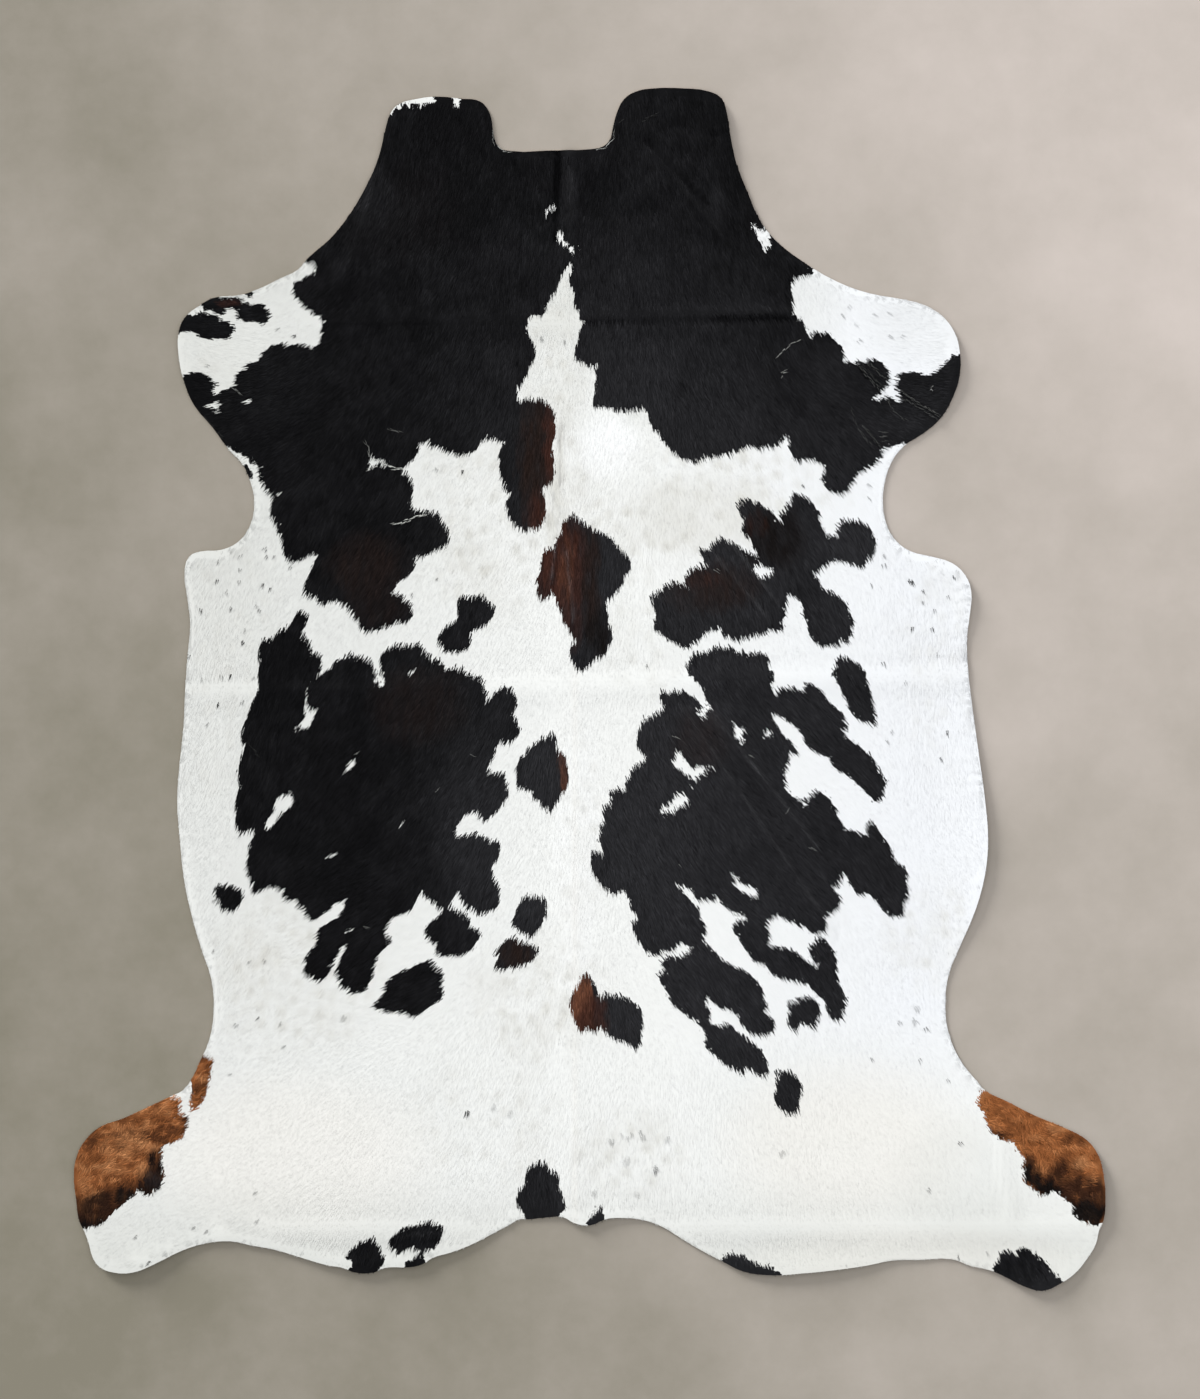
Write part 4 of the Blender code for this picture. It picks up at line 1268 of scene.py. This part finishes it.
def paintHair(roots, ahead, length, inward, marks, dice):
    # each lock's colour and kind
    tuft = sum(pull * softNoise(roots, wide, 40 + wide) for pull, wide in hair["clump"])
    middle = roots + ahead * (length * hair["shownAt"])[:, None]
    shown = middle + ahead * tuft[:, None] + dice.normal(0, 0.6, roots.shape)
    coat, kind = coatColours(shown, middle, dice)
    # painted shade on white hair along the cut edge
    dim, reach = hair["rimShade"]
    coat *= 1 - (kind == 1)[:, None] * (dim * np.exp(-(inward / reach) ** 2))[:, None]
    pale, fleck = marks
    # pale hairs, and painted highlights along the tops of wrinkles
    coat += (tones["ash"] - coat) * np.minimum(pale * 0.8, 1)[:, None]
    coat += (tones["black"] - coat) * fleck[:, None]
    return coat, kind


def seatHair(roots, ahead, length, skinTree, rim):
    # the ground under each lock, how far the lock climbs to its tip, and the slopes that it is shaded by
    fine, turned = ([row for row in creases if row[4] < width] for width in (onSkin, inHair))
    read = groundUnder(skinTree, rim)
    ground, slopeX, slopeY = read(roots)
    ground += creaseRise(roots, fine)
    tips = roots + ahead * length[:, None]
    climb = np.arctan((np.maximum(read(tips)[0] + creaseRise(tips, fine), 0.4) - ground) / length)
    slopeX += (creaseRise(roots + (1, 0), turned) - creaseRise(roots - (1, 0), turned)) / 2
    slopeY += (creaseRise(roots + (0, 1), turned) - creaseRise(roots - (0, 1), turned)) / 2
    return ground, climb, slopeX, slopeY


def hairPiece(name, layer, corners, place, values, upright, aside):
    # one joined mesh of locks, smoothed by normals that follow the skin and the lock's round back
    mesh = bpy.data.meshes.new(name + " roots")
    mesh.vertices.add(len(place))
    mesh.vertices.foreach_set("co", place.astype(np.float32).ravel())
    for label, field in values.items():
        setAttribute(mesh, label, "FLOAT_COLOR" if label == "coat" else "FLOAT_VECTOR", field)
    holder = addObject(name + " roots", mesh)
    holder.modifiers.new("hair layer", "NODES").node_group = layer
    grown = grownMesh(holder)
    grown.name = name
    normals = np.repeat(upright[:, None, :], len(corners), 1)
    normals[:, :, :2] += 2 * corners[None, :, 1:2] * aside[:, None, :]
    normals /= np.linalg.norm(normals, axis=2, keepdims=True)
    grown.normals_split_custom_set_from_vertices(normals.reshape(-1, 3))
    for spent in ("lockTurn", "lockSize"):
        if spent in grown.attributes:
            grown.attributes.remove(grown.attributes[spent])
    print(name, "has", len(grown.polygons), "faces")
    return addObject(name, grown)


def growHair(rim, skinTree):
    dice = np.random.default_rng(hair["seed"])
    roots, heading, ahead, full, length, marks = combHair(rim, dice)
    inward = rimDistance(roots, rim)
    coat, kind = paintHair(roots, ahead, length, inward, marks, dice)
    ground, climb, slopeX, slopeY = seatHair(roots, ahead, length, skinTree, rim)
    pale, fleck = marks
    ground += 0.5 * ((pale > 0) | (fleck > 0))
    bank = np.arctan(slopeY * ahead[:, 0] - slopeX * ahead[:, 1])
    calm = np.array(hair["calm"])[kind]
    rise = np.radians(np.clip(dice.normal(*hair["rise"], len(roots)), 1, 8)) * calm
    wide = hair["width"] * dice.uniform(*hair["widths"], len(roots)) * np.clip(length / full, 0.6, 1)
    wide[pale > 0] *= 0.5
    wide[fleck > 0] *= 0.65
    place = np.column_stack([roots, ground - hair["sunk"]]) * mm
    turn = np.column_stack([bank, -(climb + rise), heading])
    size = np.column_stack([length, wide, hair["height"] * calm]) * mm
    aside = np.stack([-ahead[:, 1], ahead[:, 0]], 1) * np.array(hair["round"])[kind][:, None]
    shown = shownSlope(kind != 1, inward)
    upright = np.column_stack([-slopeX * shown, -slopeY * shown, np.ones(len(roots))])
    print("hair roots:", len(roots))
    shares = np.array_split(np.arange(len(roots)), len(hair["pieces"]))
    side = math.ceil(math.sqrt(max(len(share) for share in shares)))
    lock = hairLock()
    layer = hairLayer(lock, 0.9 / side)
    corners = np.array([vert.co[:] for vert in lock.data.vertices])
    pieces = []
    for name, share in zip(hair["pieces"], shares):
        cell = np.arange(len(share))
        mapCell = np.column_stack([cell % side, cell // side, cell * 0]) / side
        values = {"lockTurn": turn[share], "lockSize": size[share], "mapCell": mapCell, "coat": coat[share]}
        pieces.append(hairPiece(name, layer, corners, place[share], values, upright[share], aside[share]))
    bpy.data.objects.remove(lock)
    return pieces


studio = {
    "floorReach": 40,
    "floorDrop": 0.0002,             # the floor lies this far under the hide, so that the two don't flicker
    "floorShine": {"Roughness": 0.85, "Specular IOR Level": 0.2},
    "floorDark": tone(124, 119, 105),
    "floorPale": tone(194, 184, 177),
    # painted light falling off over the floor
    "drift": (0.28, 0.14, 0.08),     # how much paler it is to the right, to the neck and in that corner
    "driftReach": 1.2,
    "sky": (0.97, 0.98, 1.0),
    "skyStrength": 0.87,
    "key": 7.0,                      # a low sun from the upper left, for the folds and the edge's shadow
    "keyHeight": 10,
    "keyFrom": 130,
    "keySoft": 19,
    "fill": 14,                      # a wide lamp over the right side
    "fillSize": 3.0,
    "fillPlace": (2.3, 1.2, 2.8),
    "camera": (0.0183, -0.0183, 6.0),
    "seen": 2.4442,                  # metres of floor from the photo's bottom to its top
}


def setStudio():
    bm = bmesh.new()
    bmesh.ops.create_grid(bm, x_segments=1, y_segments=1, size=studio["floorReach"])
    bmesh.ops.translate(bm, verts=bm.verts, vec=(0, 0, -studio["floorDrop"]))
    mesh = meshFrom(bm, "floor")
    floor = addObject("floor", mesh)
    material, maker, shader = newMaterial("floor", studio["floorShine"])
    place = maker.node("ShaderNodeTexCoord", out="Object")
    across, along = (
        maker.node(
            "ShaderNodeMath",
            {"operation": "TANH"},
            {0: maker.node("ShaderNodeSeparateXYZ", {}, {0: place}, axis)},
        ) * studio["driftReach"]
        for axis in (0, 1)
    )
    cloud = maker.node(
        "ShaderNodeTexNoise", {}, {"Vector": place, "Scale": 2.2, "Detail": 7.0, "Roughness": 0.65}
    )
    rightPaler, upPaler, cornerPaler = studio["drift"]
    # painted light: the floor paler to the right and to the neck, over its own mottle
    drift = across * (along * cornerPaler + rightPaler) + along * upPaler + cloud * 0.8 - 0.04
    colour = maker.node(
        "ShaderNodeValToRGB",
        {"stops": [(0.0, tuple(studio["floorDark"])), (1.0, tuple(studio["floorPale"]))]},
        {0: drift},
    )
    feed(maker, shader, "Base Color", colour)
    mesh.materials.append(material)

    scene = bpy.context.scene
    scene.view_settings.view_transform = "Standard"
    scene.world = bpy.data.worlds.new("soft room")
    scene.world.use_nodes = True
    sky = scene.world.node_tree.nodes["Background"]
    sky.inputs["Color"].default_value = (*studio["sky"], 1)
    sky.inputs["Strength"].default_value = studio["skyStrength"]

    sun = addObject("key", bpy.data.lights.new("key", "SUN"))
    sun.data.energy = studio["key"]
    sun.data.angle = math.radians(studio["keySoft"])
    height, side = math.radians(studio["keyHeight"]), math.radians(studio["keyFrom"])
    towards = Vector((math.cos(side) * math.cos(height), math.sin(side) * math.cos(height), math.sin(height)))
    sun.rotation_euler = towards.to_track_quat("Z", "Y").to_euler()

    fill = addObject("fill", bpy.data.lights.new("fill", "AREA"))
    fill.data.energy = studio["fill"]
    fill.data.size = studio["fillSize"]
    fill.location = studio["fillPlace"]
    fill.rotation_euler = Vector(studio["fillPlace"]).to_track_quat("Z", "Y").to_euler()

    camera = addObject("camera", bpy.data.cameras.new("camera"))
    camera.location = studio["camera"]
    camera.data.sensor_width = 36
    camera.data.lens = 36 * studio["camera"][2] / studio["seen"]
    scene.camera = camera


setStudio()
print("studio set")
skinPiece, rimLine, skinTree = layHide(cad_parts["hide"])
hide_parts("hide")
print("skin laid:", len(skinPiece.data.polygons), "faces")
hairPieces = growHair(rimLine / mm, skinTree)
for piece in [skinPiece] + hairPieces:
    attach(piece, "root")
onward = np.roll(rimLine, -1, 0)
cutArea = abs((rimLine[:, 0] * onward[:, 1] - rimLine[:, 1] * onward[:, 0]).sum()) / 2
print("cut area:", round(cutArea, 3))
